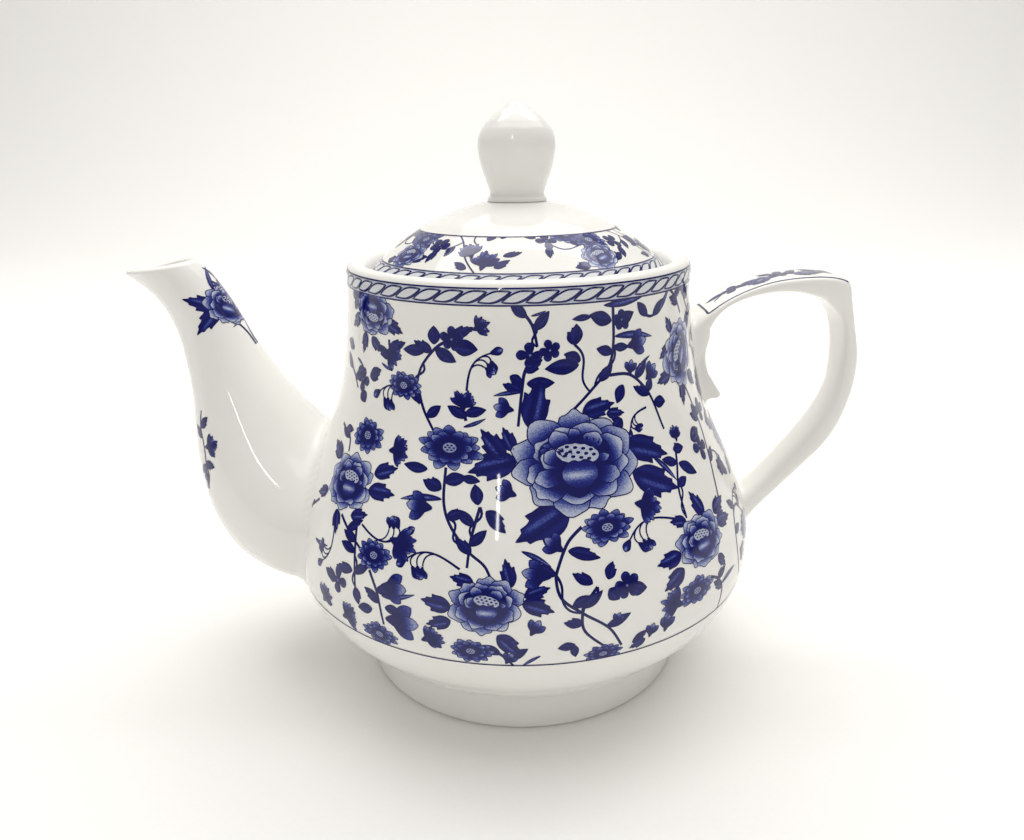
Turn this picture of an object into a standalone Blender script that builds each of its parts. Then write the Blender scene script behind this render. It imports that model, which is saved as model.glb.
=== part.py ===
"""Lidded porcelain teapot: pot, spout, handle, lid and knob, each its own solid. Metres, +Z up."""

import math

import bmesh
import bpy
from mathutils import Vector

# Overall sizes
BODY_RADIUS = 0.0714
RIM_HEIGHT = 0.1279
AXIS_X = 0.00706

# Fits
GAP = 0.0003
LID_EDGE_CLEARANCE = 0.0005
FLANGE_CLEARANCE = 0.0007

# Pot
WALL = 0.0036
FLOOR = 0.0040
NECK_RADIUS = 0.0502
FOOT_RADIUS = 0.0506
FOOT_WIDTH = 0.0042
FOOT_RECESS = 0.0068
SEAT_RADIUS = 0.0436
SEAT_DEPTH = 0.0055
LEDGE_WIDTH = 0.0050
THROAT_RADIUS = SEAT_RADIUS - LEDGE_WIDTH
THROAT_LENGTH = 0.0090

# Strainer, pierced in the pot's wall behind the spout
HOLE_RADIUS = 0.0023
HOLE_PITCH = 0.0072
STRAINER_HEIGHT = 0.0500
STRAINER_ROWS = (3, 4, 3)

# Lid
LID_RISE = 0.0213
LID_WALL = 0.0033
FLANGE_DROP = 0.0085
FLANGE_WALL = 0.0030

# Knob
KNOB_HEIGHT = 0.0261
KNOB_RADIUS = 0.0111

# Spout and handle
SPOUT_WALL = 0.0030
SPUR_HALF_WIDTH = 0.0074
SPUR_ROUNDING = 0.0016

# Facets
TURNED_STEPS = 56
KNOB_STEPS = 36
RING_POINTS = 32
STRAP_POINTS = 24

# Foot and belly of the pot: (share from foot to belly radius, share of the rim height), going up
BELLY_LOWER = (
    (0.000, 0.012),
    (0.010, 0.045),
    (0.020, 0.075),
    (0.050, 0.093),
    (0.150, 0.106),
    (0.330, 0.128),
    (0.545, 0.163),
    (0.735, 0.199),
    (0.875, 0.238),
    (0.965, 0.280),
    (1.000, 0.325),
)
# Belly to neck: (share from neck to belly radius, share of the rim height), going up
BELLY_UPPER = (
    (0.985, 0.378),
    (0.925, 0.425),
    (0.825, 0.472),
    (0.705, 0.518),
    (0.573, 0.563),
    (0.448, 0.606),
    (0.342, 0.645),
    (0.247, 0.688),
    (0.173, 0.731),
    (0.117, 0.774),
    (0.073, 0.821),
    (0.040, 0.868),
    (0.012, 0.915),
    (0.000, 0.954),
)
# Rim lip: (share from seat to neck radius, share of the seat depth above the seat), outside to inside
RIM_LIP = (
    (1.000, 0.400),
    (0.970, 0.680),
    (0.850, 0.900),
    (0.640, 1.000),
    (0.380, 0.970),
    (0.160, 0.800),
    (0.030, 0.500),
    (0.000, 0.200),
)
# Lid's top surface: (share of the lid's radius, share of its rise), centre to edge
LID_TOP = (
    (0.000, 1.000),
    (0.190, 0.981),
    (0.350, 0.911),
    (0.510, 0.795),
    (0.590, 0.722),
    (0.657, 0.641),
    (0.735, 0.556),
    (0.805, 0.460),
    (0.870, 0.356),
    (0.923, 0.267),
    (0.965, 0.178),
    (0.990, 0.110),
    (1.000, 0.055),
)
# Knob: (share of its radius, share of its height), top to base
KNOB_OUTLINE = (
    (0.000, 1.000),
    (0.140, 0.990),
    (0.255, 0.962),
    (0.355, 0.926),
    (0.520, 0.882),
    (0.725, 0.808),
    (0.815, 0.763),
    (0.905, 0.710),
    (0.978, 0.628),
    (1.000, 0.540),
    (0.978, 0.455),
    (0.940, 0.370),
    (0.865, 0.262),
    (0.785, 0.165),
    (0.720, 0.085),
    (0.705, 0.040),
    (0.730, 0.000),
)
# Spout sections from mouth to root, x and half width in body radii and z in rim heights:
# under edge x and z, upper edge x and z, half width
SPOUT_SECTIONS = (
    (-1.629, 0.977, -1.346, 1.010, 0.143),
    (-1.552, 0.941, -1.283, 0.964, 0.137),
    (-1.489, 0.898, -1.223, 0.909, 0.139),
    (-1.448, 0.842, -1.164, 0.844, 0.150),
    (-1.427, 0.772, -1.098, 0.776, 0.175),
    (-1.416, 0.686, -1.022, 0.710, 0.214),
    (-1.420, 0.589, -0.941, 0.649, 0.268),
    (-1.409, 0.484, -0.861, 0.598, 0.329),
    (-1.361, 0.384, -0.782, 0.564, 0.388),
    (-1.258, 0.297, -0.704, 0.550, 0.436),
    (-1.083, 0.234, -0.632, 0.555, 0.461),
    (-0.832, 0.198, -0.564, 0.580, 0.462),
)
# Handle sections from the upper root round to the lower root, in the same units:
# outer edge x and z, inner edge x and z, half width, squareness
HANDLE_SECTIONS = (
    (0.622, 0.787, 0.693, 0.711, 0.120, 3.0),
    (0.689, 0.830, 0.775, 0.771, 0.123, 3.5),
    (0.775, 0.873, 0.793, 0.834, 0.129, 4.5),
    (0.888, 0.912, 0.850, 0.880, 0.130, 5.0),
    (1.029, 0.941, 0.973, 0.908, 0.130, 5.0),
    (1.175, 0.952, 1.115, 0.914, 0.130, 5.0),
    (1.286, 0.951, 1.231, 0.899, 0.130, 5.0),
    (1.349, 0.937, 1.273, 0.884, 0.128, 4.8),
    (1.367, 0.896, 1.317, 0.858, 0.123, 4.5),
    (1.392, 0.844, 1.343, 0.820, 0.115, 3.6),
    (1.431, 0.755, 1.350, 0.751, 0.104, 3.0),
    (1.419, 0.654, 1.335, 0.675, 0.097, 2.8),
    (1.357, 0.554, 1.262, 0.595, 0.094, 2.6),
    (1.231, 0.468, 1.150, 0.513, 0.092, 2.5),
    (1.092, 0.385, 1.022, 0.429, 0.095, 2.5),
    (0.975, 0.306, 0.890, 0.362, 0.101, 2.5),
    (0.860, 0.255, 0.790, 0.315, 0.104, 2.5),
)
# Pad and spur under the handle's upper root, x in body radii and z in rim heights
SPUR_OUTLINE = (
    (0.655, 0.832),
    (0.790, 0.840),
    (0.779, 0.790),
    (0.783, 0.755),
    (0.807, 0.722),
    (0.843, 0.686),
    (0.864, 0.668),
    (0.857, 0.658),
    (0.800, 0.654),
    (0.655, 0.651),
)


def clear_scene():
    for obj in list(bpy.data.objects):
        bpy.data.objects.remove(obj)
    for collection in list(bpy.data.collections):
        bpy.data.collections.remove(collection)


def smooth_curve(points, per_span):
    """Points along a Catmull-Rom curve through the given ones."""
    found = []
    last = len(points) - 1
    for i in range(last):
        before = points[max(i - 1, 0)]
        start = points[i]
        end = points[i + 1]
        after = points[min(i + 2, last)]
        for step in range(per_span):
            t = step / per_span
            found.append(
                tuple(
                    0.5 * (2 * b + (c - a) * t + (2 * a - 5 * b + 4 * c - d) * t * t + (3 * b - a - 3 * c + d) * t**3)
                    for a, b, c, d in zip(before, start, end, after)
                )
            )
    found.append(tuple(points[last]))
    return found


def outer_wall():
    """(radius, height) up the pot's outside, from the foot to under the rim lip."""
    lower = [(FOOT_RADIUS + (BODY_RADIUS - FOOT_RADIUS) * r, RIM_HEIGHT * z) for r, z in BELLY_LOWER]
    upper = [(NECK_RADIUS + (BODY_RADIUS - NECK_RADIUS) * r, RIM_HEIGHT * z) for r, z in BELLY_UPPER]
    return lower + upper


def rim_lip():
    seat = RIM_HEIGHT - SEAT_DEPTH
    lip = [(SEAT_RADIUS + (NECK_RADIUS - SEAT_RADIUS) * r, seat + SEAT_DEPTH * z) for r, z in RIM_LIP]
    return lip


def offset_inwards(points, distance):
    moved = []
    for i, (r, z) in enumerate(points):
        r0, z0 = points[max(i - 1, 0)]
        r1, z1 = points[min(i + 1, len(points) - 1)]
        length = math.hypot(r1 - r0, z1 - z0)
        moved.append((r - distance * (z1 - z0) / length, z + distance * (r1 - r0) / length))
    return moved


def pot_profile():
    seat = RIM_HEIGHT - SEAT_DEPTH
    floor = FOOT_RECESS + FLOOR
    throat_end = seat - THROAT_LENGTH
    wall = outer_wall()
    inside = [p for p in offset_inwards(wall, WALL) if floor + 0.0035 < p[1] < throat_end - 0.0075]
    inner = [(0.0, floor), (FOOT_RADIUS * 0.55, floor + 0.0001), (FOOT_RADIUS * 0.85, floor + 0.0009)]
    inner += inside
    inner += [(THROAT_RADIUS + 0.0045, throat_end - 0.0030), (THROAT_RADIUS + 0.0012, throat_end)]
    inner += [(THROAT_RADIUS, throat_end + 0.0020), (THROAT_RADIUS, seat - 0.0006), (THROAT_RADIUS + 0.0006, seat)]
    inner += [(SEAT_RADIUS - 0.0006, seat)]
    lip = list(reversed(rim_lip()))
    outside = list(reversed(wall))
    foot_inner = FOOT_RADIUS - FOOT_WIDTH
    under = [(FOOT_RADIUS - 0.0007, 0.0), (foot_inner + 0.0007, 0.0), (foot_inner, 0.0007)]
    under += [(foot_inner - 0.0012, FOOT_RECESS - 0.0012), (foot_inner - 0.0030, FOOT_RECESS)]
    under += [(foot_inner * 0.5, FOOT_RECESS - 0.0003), (0.0, FOOT_RECESS - 0.0004)]
    return inner + lip + outside + under


def envelope_profile():
    """The pot filled solid and grown by the gap, for trimming what is luted to it."""
    wall = [(r + GAP, z) for r, z in outer_wall()]
    top = RIM_HEIGHT + 0.004
    side = [(0.0, top), (NECK_RADIUS + GAP, top)] + list(reversed(wall))
    return side + [(FOOT_RADIUS + GAP, -0.002), (0.0, -0.002)]


def lid_radius():
    return SEAT_RADIUS - LID_EDGE_CLEARANCE


def lid_base():
    return RIM_HEIGHT - SEAT_DEPTH + GAP


def lid_crown():
    return lid_base() + LID_RISE


def lid_profile():
    base = lid_base()
    top = [(lid_radius() * r, base + LID_RISE * z) for r, z in LID_TOP]
    flange_outer = THROAT_RADIUS - FLANGE_CLEARANCE
    flange_inner = flange_outer - FLANGE_WALL
    edge = [(lid_radius() - 0.0003, base + 0.0005), (lid_radius() - 0.0010, base)]
    flange = [(flange_outer + 0.0005, base), (flange_outer, base - 0.0005)]
    flange += [(flange_outer - 0.0002, base - FLANGE_DROP + 0.0008), (flange_outer - 0.0009, base - FLANGE_DROP)]
    flange += [(flange_inner + 0.0008, base - FLANGE_DROP), (flange_inner, base - FLANGE_DROP + 0.0008)]
    flange += [(flange_inner, base + 0.0008)]
    under = [(r, z - LID_WALL) for r, z in top if r < flange_inner - 0.0012]
    return top + edge + flange + list(reversed(under))


def knob_profile():
    base = lid_crown() + GAP
    outline = [(KNOB_RADIUS * r, base + KNOB_HEIGHT * z) for r, z in KNOB_OUTLINE]
    return outline + [(KNOB_RADIUS * 0.35, base), (0.0, base)]


def mesh_object(name, verts, edges, faces, collection, origin):
    mesh = bpy.data.meshes.new(name)
    mesh.from_pydata([Vector(v) - Vector(origin) for v in verts], edges, faces)
    mesh.update()
    obj = bpy.data.objects.new(name, mesh)
    obj.location = origin
    collection.objects.link(obj)
    return obj


def turned(name, profile, steps, collection, origin):
    """A solid of revolution about the pot's axis: a Screw modifier on its half section."""
    verts = [(origin[0] + r, 0.0, z) for r, z in profile]
    edges = [(i, i + 1) for i in range(len(profile) - 1)]
    obj = mesh_object(name, verts, edges, [], collection, origin)
    screw = obj.modifiers.new("turn", "SCREW")
    screw.axis = "Z"
    screw.angle = 2 * math.pi
    screw.screw_offset = 0.0
    screw.steps = steps
    screw.render_steps = steps
    screw.use_merge_vertices = True
    screw.merge_threshold = 0.00001
    screw.use_smooth_shade = True
    return obj


def lofted(name, rings, collection, origin):
    """A closed solid through rings of points, capped at both ends."""
    count = len(rings[0])
    verts = [point for ring in rings for point in ring]
    faces = []
    for i in range(len(rings) - 1):
        for j in range(count):
            k = (j + 1) % count
            faces.append((i * count + j, i * count + k, (i + 1) * count + k, (i + 1) * count + j))
    faces.append(tuple(range(count)))
    faces.append(tuple(reversed(range((len(rings) - 1) * count, len(rings) * count))))
    obj = mesh_object(name, verts, [], faces, collection, origin)
    made = bmesh.new()
    made.from_mesh(obj.data)
    bmesh.ops.recalc_face_normals(made, faces=made.faces)
    made.to_mesh(obj.data)
    made.free()
    return obj


def section_ring(outer, inner, half_width, squareness, count):
    """Points round a section whose long way runs from outer to inner in the X-Z plane."""
    centre = ((outer[0] + inner[0]) / 2, (outer[1] + inner[1]) / 2)
    reach = ((outer[0] - inner[0]) / 2, (outer[1] - inner[1]) / 2)
    ring = []
    for j in range(count):
        angle = 2 * math.pi * j / count
        along = math.copysign(abs(math.cos(angle)) ** (2 / squareness), math.cos(angle))
        across = math.copysign(abs(math.sin(angle)) ** (2 / squareness), math.sin(angle))
        ring.append((AXIS_X + centre[0] + reach[0] * along, half_width * across, centre[1] + reach[1] * along))
    return ring


def real_sections(sections):
    scales = (BODY_RADIUS, RIM_HEIGHT, BODY_RADIUS, RIM_HEIGHT, BODY_RADIUS)
    return [tuple(v * s for v, s in zip(row, scales)) + tuple(row[5:]) for row in sections]


def spout_rings():
    rings = []
    for ox, oz, ix, iz, half in smooth_curve(real_sections(SPOUT_SECTIONS), 2):
        rings.append(section_ring((ox, oz), (ix, iz), half, 2.0, RING_POINTS))
    return rings


def bore_rings():
    """The spout's passage: its sections drawn in by the wall, run out past the mouth."""
    rows = smooth_curve(real_sections(SPOUT_SECTIONS), 2)
    rings = []
    for ox, oz, ix, iz, half in rows:
        length = math.hypot(ox - ix, oz - iz)
        step = SPOUT_WALL / length
        outer = (ox + (ix - ox) * step, oz + (iz - oz) * step)
        inner = (ix + (ox - ix) * step, iz + (oz - iz) * step)
        rings.append(section_ring(outer, inner, half - SPOUT_WALL, 2.0, RING_POINTS))
    lift = Vector(rings[0][0]) - Vector(rings[1][0])
    rings.insert(0, [tuple(Vector(p) + lift) for p in rings[0]])
    drop = Vector((0.004, 0.0, 0.0))
    rings.append([tuple(Vector(p) + drop) for p in rings[-1]])
    return rings


def handle_rings():
    rings = []
    for ox, oz, ix, iz, half, squareness in smooth_curve(real_sections(HANDLE_SECTIONS), 2):
        rings.append(section_ring((ox, oz), (ix, iz), half, squareness, STRAP_POINTS))
    return rings


def spur_rings():
    """The pad and spur as an upright plate across Y, drawn in at both faces."""
    outline = smooth_curve([(AXIS_X + x * BODY_RADIUS, z * RIM_HEIGHT) for x, z in SPUR_OUTLINE], 2)
    middle = (sum(x for x, _ in outline) / len(outline), sum(z for _, z in outline) / len(outline))
    rings = []
    for y, inset in ((-1.0, 1.0), (-0.93, 0.45), (-0.78, 0.1), (0.0, 0.0), (0.78, 0.1), (0.93, 0.45), (1.0, 1.0)):
        ring = []
        for x, z in outline:
            away = math.hypot(x - middle[0], z - middle[1])
            keep = 1 - SPUR_ROUNDING * inset / away
            ring.append((middle[0] + (x - middle[0]) * keep, y * SPUR_HALF_WIDTH, middle[1] + (z - middle[1]) * keep))
        rings.append(ring)
    return rings


def strainer_rods(collection, origin):
    """Rods through the wall behind the spout, in staggered rows, as one cutter."""
    made = bmesh.new()
    row_rise = HOLE_PITCH * math.sqrt(3) / 2
    for row, count in enumerate(STRAINER_ROWS):
        height = STRAINER_HEIGHT + (row - (len(STRAINER_ROWS) - 1) / 2) * row_rise
        for i in range(count):
            across = (i - (count - 1) / 2) * HOLE_PITCH
            ends = []
            for x in (-BODY_RADIUS - 0.004, -BODY_RADIUS * 0.68):
                ring = []
                for j in range(12):
                    angle = 2 * math.pi * j / 12
                    y = across + HOLE_RADIUS * math.cos(angle)
                    z = height + HOLE_RADIUS * math.sin(angle)
                    ring.append(made.verts.new(Vector((AXIS_X + x, y, z)) - Vector(origin)))
                ends.append(ring)
            for j in range(12):
                k = (j + 1) % 12
                made.faces.new((ends[0][j], ends[0][k], ends[1][k], ends[1][j]))
            made.faces.new(ends[0])
            made.faces.new(list(reversed(ends[1])))
    bmesh.ops.recalc_face_normals(made, faces=made.faces)
    mesh = bpy.data.meshes.new("strainer_rods")
    made.to_mesh(mesh)
    made.free()
    obj = bpy.data.objects.new("strainer_rods", mesh)
    obj.location = origin
    collection.objects.link(obj)
    return obj


def boolean(obj, other, operation):
    modifier = obj.modifiers.new(operation.lower() + "_" + other.name, "BOOLEAN")
    modifier.operation = operation
    modifier.solver = "EXACT"
    modifier.object = other


def as_cutter(obj):
    obj.hide_render = True
    obj.display_type = "WIRE"
    return obj


def porcelain(name, colour):
    material = bpy.data.materials.new(name)
    material.use_nodes = True
    shader = material.node_tree.nodes["Principled BSDF"]
    shader.inputs["Base Color"].default_value = (*colour, 1.0)
    shader.inputs["Roughness"].default_value = 0.08
    shader.inputs["IOR"].default_value = 1.5
    material.diffuse_color = (*colour, 1.0)
    return material


def finish(obj, colour):
    obj.data.materials.append(porcelain(obj.name, colour))
    bpy.context.view_layer.objects.active = obj
    for other in bpy.context.view_layer.objects:
        other.select_set(other == obj)
    bpy.ops.object.shade_smooth()
    obj.data.set_sharp_from_angle(angle=math.radians(35))


def main():
    clear_scene()
    scene = bpy.context.scene
    scene.unit_settings.system = "METRIC"
    teapot = bpy.data.collections.new("teapot")
    cutters = bpy.data.collections.new("cutters")
    scene.collection.children.link(teapot)
    scene.collection.children.link(cutters)

    axis = (AXIS_X, 0.0, 0.0)
    seat = (AXIS_X, 0.0, lid_base())
    envelope = as_cutter(turned("pot_envelope", envelope_profile(), TURNED_STEPS, cutters, axis))
    rods = as_cutter(strainer_rods(cutters, axis))
    bore = as_cutter(lofted("spout_bore", bore_rings(), cutters, axis))
    spur = as_cutter(lofted("handle_spur", spur_rings(), cutters, axis))

    pot = turned("pot_body", pot_profile(), TURNED_STEPS, teapot, axis)
    boolean(pot, rods, "DIFFERENCE")

    spout = lofted("spout", spout_rings(), teapot, axis)
    boolean(spout, bore, "DIFFERENCE")
    boolean(spout, envelope, "DIFFERENCE")

    handle = lofted("handle", handle_rings(), teapot, axis)
    boolean(handle, spur, "UNION")
    boolean(handle, envelope, "DIFFERENCE")

    lid = turned("lid", lid_profile(), TURNED_STEPS, teapot, seat)
    knob = turned("knob", knob_profile(), KNOB_STEPS, teapot, seat)

    finish(pot, (0.83, 0.83, 0.82))
    finish(spout, (0.84, 0.84, 0.83))
    finish(handle, (0.84, 0.84, 0.83))
    finish(lid, (0.83, 0.83, 0.82))
    finish(knob, (0.85, 0.85, 0.84))


main()
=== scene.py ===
"""Looks of a lidded porcelain teapot: glazed pieces, cobalt print, rope bands and a studio, round its CAD."""

import math
import random

import bpy
import bmesh
import numpy as np
from bpy.props import FloatProperty, FloatVectorProperty, IntProperty, PointerProperty
from mathutils import Matrix, Vector
from mathutils.bvhtree import BVHTree


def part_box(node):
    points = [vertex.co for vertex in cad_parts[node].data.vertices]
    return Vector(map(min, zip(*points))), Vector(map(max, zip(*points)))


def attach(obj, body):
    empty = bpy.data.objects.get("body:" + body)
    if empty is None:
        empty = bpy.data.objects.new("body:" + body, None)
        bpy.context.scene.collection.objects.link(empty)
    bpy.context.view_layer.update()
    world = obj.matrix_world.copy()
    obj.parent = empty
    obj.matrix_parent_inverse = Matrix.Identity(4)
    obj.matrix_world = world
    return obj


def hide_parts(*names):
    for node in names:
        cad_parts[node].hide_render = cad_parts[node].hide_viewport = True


bl_info = {
    "name": "Porcelain Teapot",
    "version": (1, 0, 0),
    "blender": (4, 5, 0),
    "location": "3D View > Sidebar > Teapot",
    "description": "Glazed porcelain teapot with an all-over cobalt print",
    "category": "Object",
}

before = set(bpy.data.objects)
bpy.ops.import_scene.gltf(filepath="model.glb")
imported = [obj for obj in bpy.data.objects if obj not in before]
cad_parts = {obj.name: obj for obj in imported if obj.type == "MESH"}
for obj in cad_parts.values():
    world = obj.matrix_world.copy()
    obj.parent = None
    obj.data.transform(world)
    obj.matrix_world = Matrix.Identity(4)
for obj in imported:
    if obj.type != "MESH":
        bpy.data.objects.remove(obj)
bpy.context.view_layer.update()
POT_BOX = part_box("pot_body")
LID_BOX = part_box("lid")
KNOB_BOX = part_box("knob")

MM = 0.001

# The CAD's own sizes, in millimetres
AXIS_X = (POT_BOX[0].x + POT_BOX[1].x) / 2 / MM
BODY_RADIUS = (POT_BOX[1].y - POT_BOX[0].y) / 2 / MM
RIM_HEIGHT = POT_BOX[1].z / MM
NECK_RADIUS = 50.2
FOOT_RADIUS = 50.6
FOOT_WIDTH = 4.2
FOOT_RECESS = 6.8
WALL = 3.6
FLOOR = 4.0
SEAT_RADIUS = 43.6
SEAT_DEPTH = 5.5
THROAT_RADIUS = 38.6
THROAT_LENGTH = 9.0
LID_RADIUS = (LID_BOX[1].y - LID_BOX[0].y) / 2 / MM
SEAT_GAP = 0.3
LID_BASE = RIM_HEIGHT - SEAT_DEPTH + SEAT_GAP
LID_RISE = LID_BOX[1].z / MM - LID_BASE
LID_WALL = 3.3
FLANGE_DROP = 8.5
FLANGE_WALL = 3.0
FLANGE_CLEARANCE = 0.7
KNOB_BASE = KNOB_BOX[0].z / MM
KNOB_HEIGHT = (KNOB_BOX[1].z - KNOB_BOX[0].z) / MM
KNOB_RADIUS = (KNOB_BOX[1].y - KNOB_BOX[0].y) / 2 / MM
SPOUT_WALL = 3.0
SPUR_HALF_WIDTH = 7.4
HOLE_RADIUS = 2.3
HOLE_PITCH = 7.2
STRAINER_HEIGHT = 50.0
STRAINER_ROWS = (3, 4, 3)

# The glazed pieces stand this far inside the CAD's skin, so that the print on them doesn't stand proud of it
INSET = 0.14
PRINT_LIFT = 0.03
LAYER_STEP = 0.007
LINE_ABOVE = 0.5

# Where the print lies: heights on the pot, radii on the lid
PRINT_BOTTOM = 35.9
PRINT_TOP = 122.2
BAND_WIDTH = 4.1
LID_BAND_INNER = 39.8
LID_BAND_OUTER = 42.5
LID_PRINT_INNER = 28.5

# The camera's lens in millimetres, place in metres and turns in radians
CAMERA_LENS = 28.1
CAMERA_PLACE = (AXIS_X * MM, -0.2394, 0.1575)
CAMERA_TURN = 0.0105
CAMERA_TILT = 0.3261
CAMERA_ROLL = -0.0159

BELLY_LOWER = (
    (0.000, 0.012), (0.010, 0.045), (0.020, 0.075), (0.050, 0.093), (0.150, 0.106), (0.330, 0.128),
    (0.545, 0.163), (0.735, 0.199), (0.875, 0.238), (0.965, 0.280), (1.000, 0.325),
)
BELLY_UPPER = (
    (0.985, 0.378), (0.925, 0.425), (0.825, 0.472), (0.705, 0.518), (0.573, 0.563), (0.448, 0.606),
    (0.342, 0.645), (0.247, 0.688), (0.173, 0.731), (0.117, 0.774), (0.073, 0.821), (0.040, 0.868),
    (0.012, 0.915), (0.000, 0.954),
)
RIM_LIP = (
    (1.000, 0.400), (0.970, 0.680), (0.850, 0.900), (0.640, 1.000), (0.380, 0.970), (0.160, 0.800),
    (0.030, 0.500), (0.000, 0.200),
)
LID_TOP = (
    (0.000, 1.000), (0.190, 0.981), (0.350, 0.911), (0.510, 0.795), (0.590, 0.722), (0.657, 0.641),
    (0.735, 0.556), (0.805, 0.460), (0.870, 0.356), (0.923, 0.267), (0.965, 0.178), (0.990, 0.110),
    (1.000, 0.055),
)
KNOB_OUTLINE = (
    (0.000, 1.000), (0.140, 0.990), (0.255, 0.962), (0.355, 0.926), (0.520, 0.882), (0.725, 0.808),
    (0.815, 0.763), (0.905, 0.710), (0.978, 0.628), (1.000, 0.540), (0.978, 0.455), (0.940, 0.370),
    (0.865, 0.262), (0.785, 0.165), (0.720, 0.085), (0.705, 0.040), (0.730, 0.000),
)
SPOUT_SECTIONS = (
    (-1.639, 0.979, -1.337, 1.003, 0.149),
    (-1.552, 0.941, -1.283, 0.964, 0.137),
    (-1.489, 0.898, -1.223, 0.909, 0.139),
    (-1.448, 0.842, -1.164, 0.844, 0.150),
    (-1.427, 0.772, -1.098, 0.776, 0.175),
    (-1.416, 0.686, -1.022, 0.710, 0.214),
    (-1.420, 0.589, -0.941, 0.649, 0.268),
    (-1.409, 0.484, -0.861, 0.598, 0.329),
    (-1.361, 0.384, -0.782, 0.564, 0.388),
    (-1.258, 0.297, -0.704, 0.550, 0.436),
    (-1.083, 0.234, -0.632, 0.555, 0.461),
    (-0.832, 0.198, -0.564, 0.580, 0.462),
)
HANDLE_SECTIONS = (
    (0.622, 0.787, 0.693, 0.711, 0.120, 3.0),
    (0.689, 0.830, 0.775, 0.771, 0.123, 3.5),
    (0.775, 0.873, 0.793, 0.834, 0.129, 4.5),
    (0.888, 0.912, 0.850, 0.880, 0.130, 5.0),
    (1.029, 0.941, 0.973, 0.908, 0.130, 5.0),
    (1.175, 0.952, 1.115, 0.914, 0.130, 5.0),
    (1.286, 0.951, 1.231, 0.899, 0.130, 5.0),
    (1.349, 0.937, 1.273, 0.884, 0.128, 4.8),
    (1.367, 0.896, 1.317, 0.858, 0.123, 4.5),
    (1.392, 0.844, 1.343, 0.820, 0.115, 3.6),
    (1.431, 0.755, 1.350, 0.751, 0.104, 3.0),
    (1.419, 0.654, 1.335, 0.675, 0.097, 2.8),
    (1.357, 0.554, 1.262, 0.595, 0.094, 2.6),
    (1.231, 0.468, 1.150, 0.513, 0.092, 2.5),
    (1.092, 0.385, 1.022, 0.429, 0.095, 2.5),
    (0.975, 0.306, 0.890, 0.362, 0.101, 2.5),
    (0.860, 0.255, 0.790, 0.315, 0.104, 2.5),
)
SPUR_OUTLINE = (
    (0.655, 0.832), (0.790, 0.840), (0.779, 0.790), (0.783, 0.755), (0.807, 0.722), (0.843, 0.686),
    (0.864, 0.668), (0.857, 0.658), (0.800, 0.654), (0.655, 0.651),
)

# The body's print: where each motif stands on the sheet that wraps the pot, in degrees round from the pot's
# broad side (spout side negative) and millimetres up the wall from the bottom line. PEONIES and DAISIES are
# (degrees, up, turn, half width, half height) and BLOSSOMS are (degrees, up, turn, size). The others grow from
# one place to another: (degrees, up, degrees, up), then a width for leaves or a side for sprays
PEONIES = (
    (14, 50, 0, 17.0, 13.3), (-48.5, 39, 6, 10.4, 8.2), (-7.5, 16, 0, 9.8, 7.5),
    (-49, 86, 180, 9.0, 6.6), (44.5, 23, 0, 10.2, 7.6), (57, 72, 60, 9.6, 8.6), (82, 41, 0, 10.0, 8.0),
)
DAISIES = (
    (-18.5, 54.5, 0, 9.2, 5.6), (-34.5, 68.5, 0, 5.6, 3.9), (-46.5, 53, 0, 6.8, 4.9),
    (-34, 24, 0, 6.0, 4.3), (-31.5, 3, 0, 5.8, 3.6), (-10.5, 4, 0, 5.8, 3.6), (19.5, 34, 0, 7.5, 4.5),
    (40.5, 11, 0, 7.0, 4.0), (16.5, 1.5, 0, 5.2, 3.0), (-68, 22, 0, 6.0, 4.3), (70, 16, 0, 6.4, 4.4),
    (76, 60, 0, 6.6, 4.6),
)
SIDE_DAISIES = (
    (-13, 84, -8, 86), (-15.5, 63.5, -15, 69.5), (-37, 51, -30, 52.5), (-43, 76.5, -35.5, 75),
    (-30.5, 29.5, -23.5, 27.5), (-21, 5, -16, 8), (-43, 3, -37.5, 6), (-51, 3.5, -47.5, 9),
    (27.5, 38.5, 35, 35.5), (47, 50, 47.5, 55), (36, 9, 30, 12.5), (66, 84, 70, 80), (64, 34, 69, 38),
)
BLOSSOMS = (
    (-19, 81.5, 0, 3.4), (3, 78, 0, 3.7), (8.5, 79, 20, 3.0), (22, 19, 10, 3.9), (-53.5, 67, 0, 4.0),
    (-44, 13.5, 0, 4.2), (57.5, 45.5, 0, 4.4), (30.5, 85, 0, 3.0), (-59.5, 88, 0, 4.0),
    (66, 54, 0, 4.2),
)
BELLS = (
    (-1.5, 64.5, -7, 65.5), (-21, 39, -28, 39), (-31, 17, -24.5, 17.5), (-29.5, 8.5, -21.5, 9),
    (-1, 43.5, -6, 45.5), (32, 78, 39.5, 79), (38.5, 68.5, 43, 72), (32.5, 70.5, 33.5, 74.5),
    (6, 23.5, 0, 25), (9, 29.5, 5, 33), (1.5, 9, 3.5, 13), (27, 3, 28, 7), (31, 3, 32, 8),
    (19, 9.5, 20, 12.5), (-3.5, 0.5, -2, 4), (62, 12, 66, 9),
)
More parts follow.
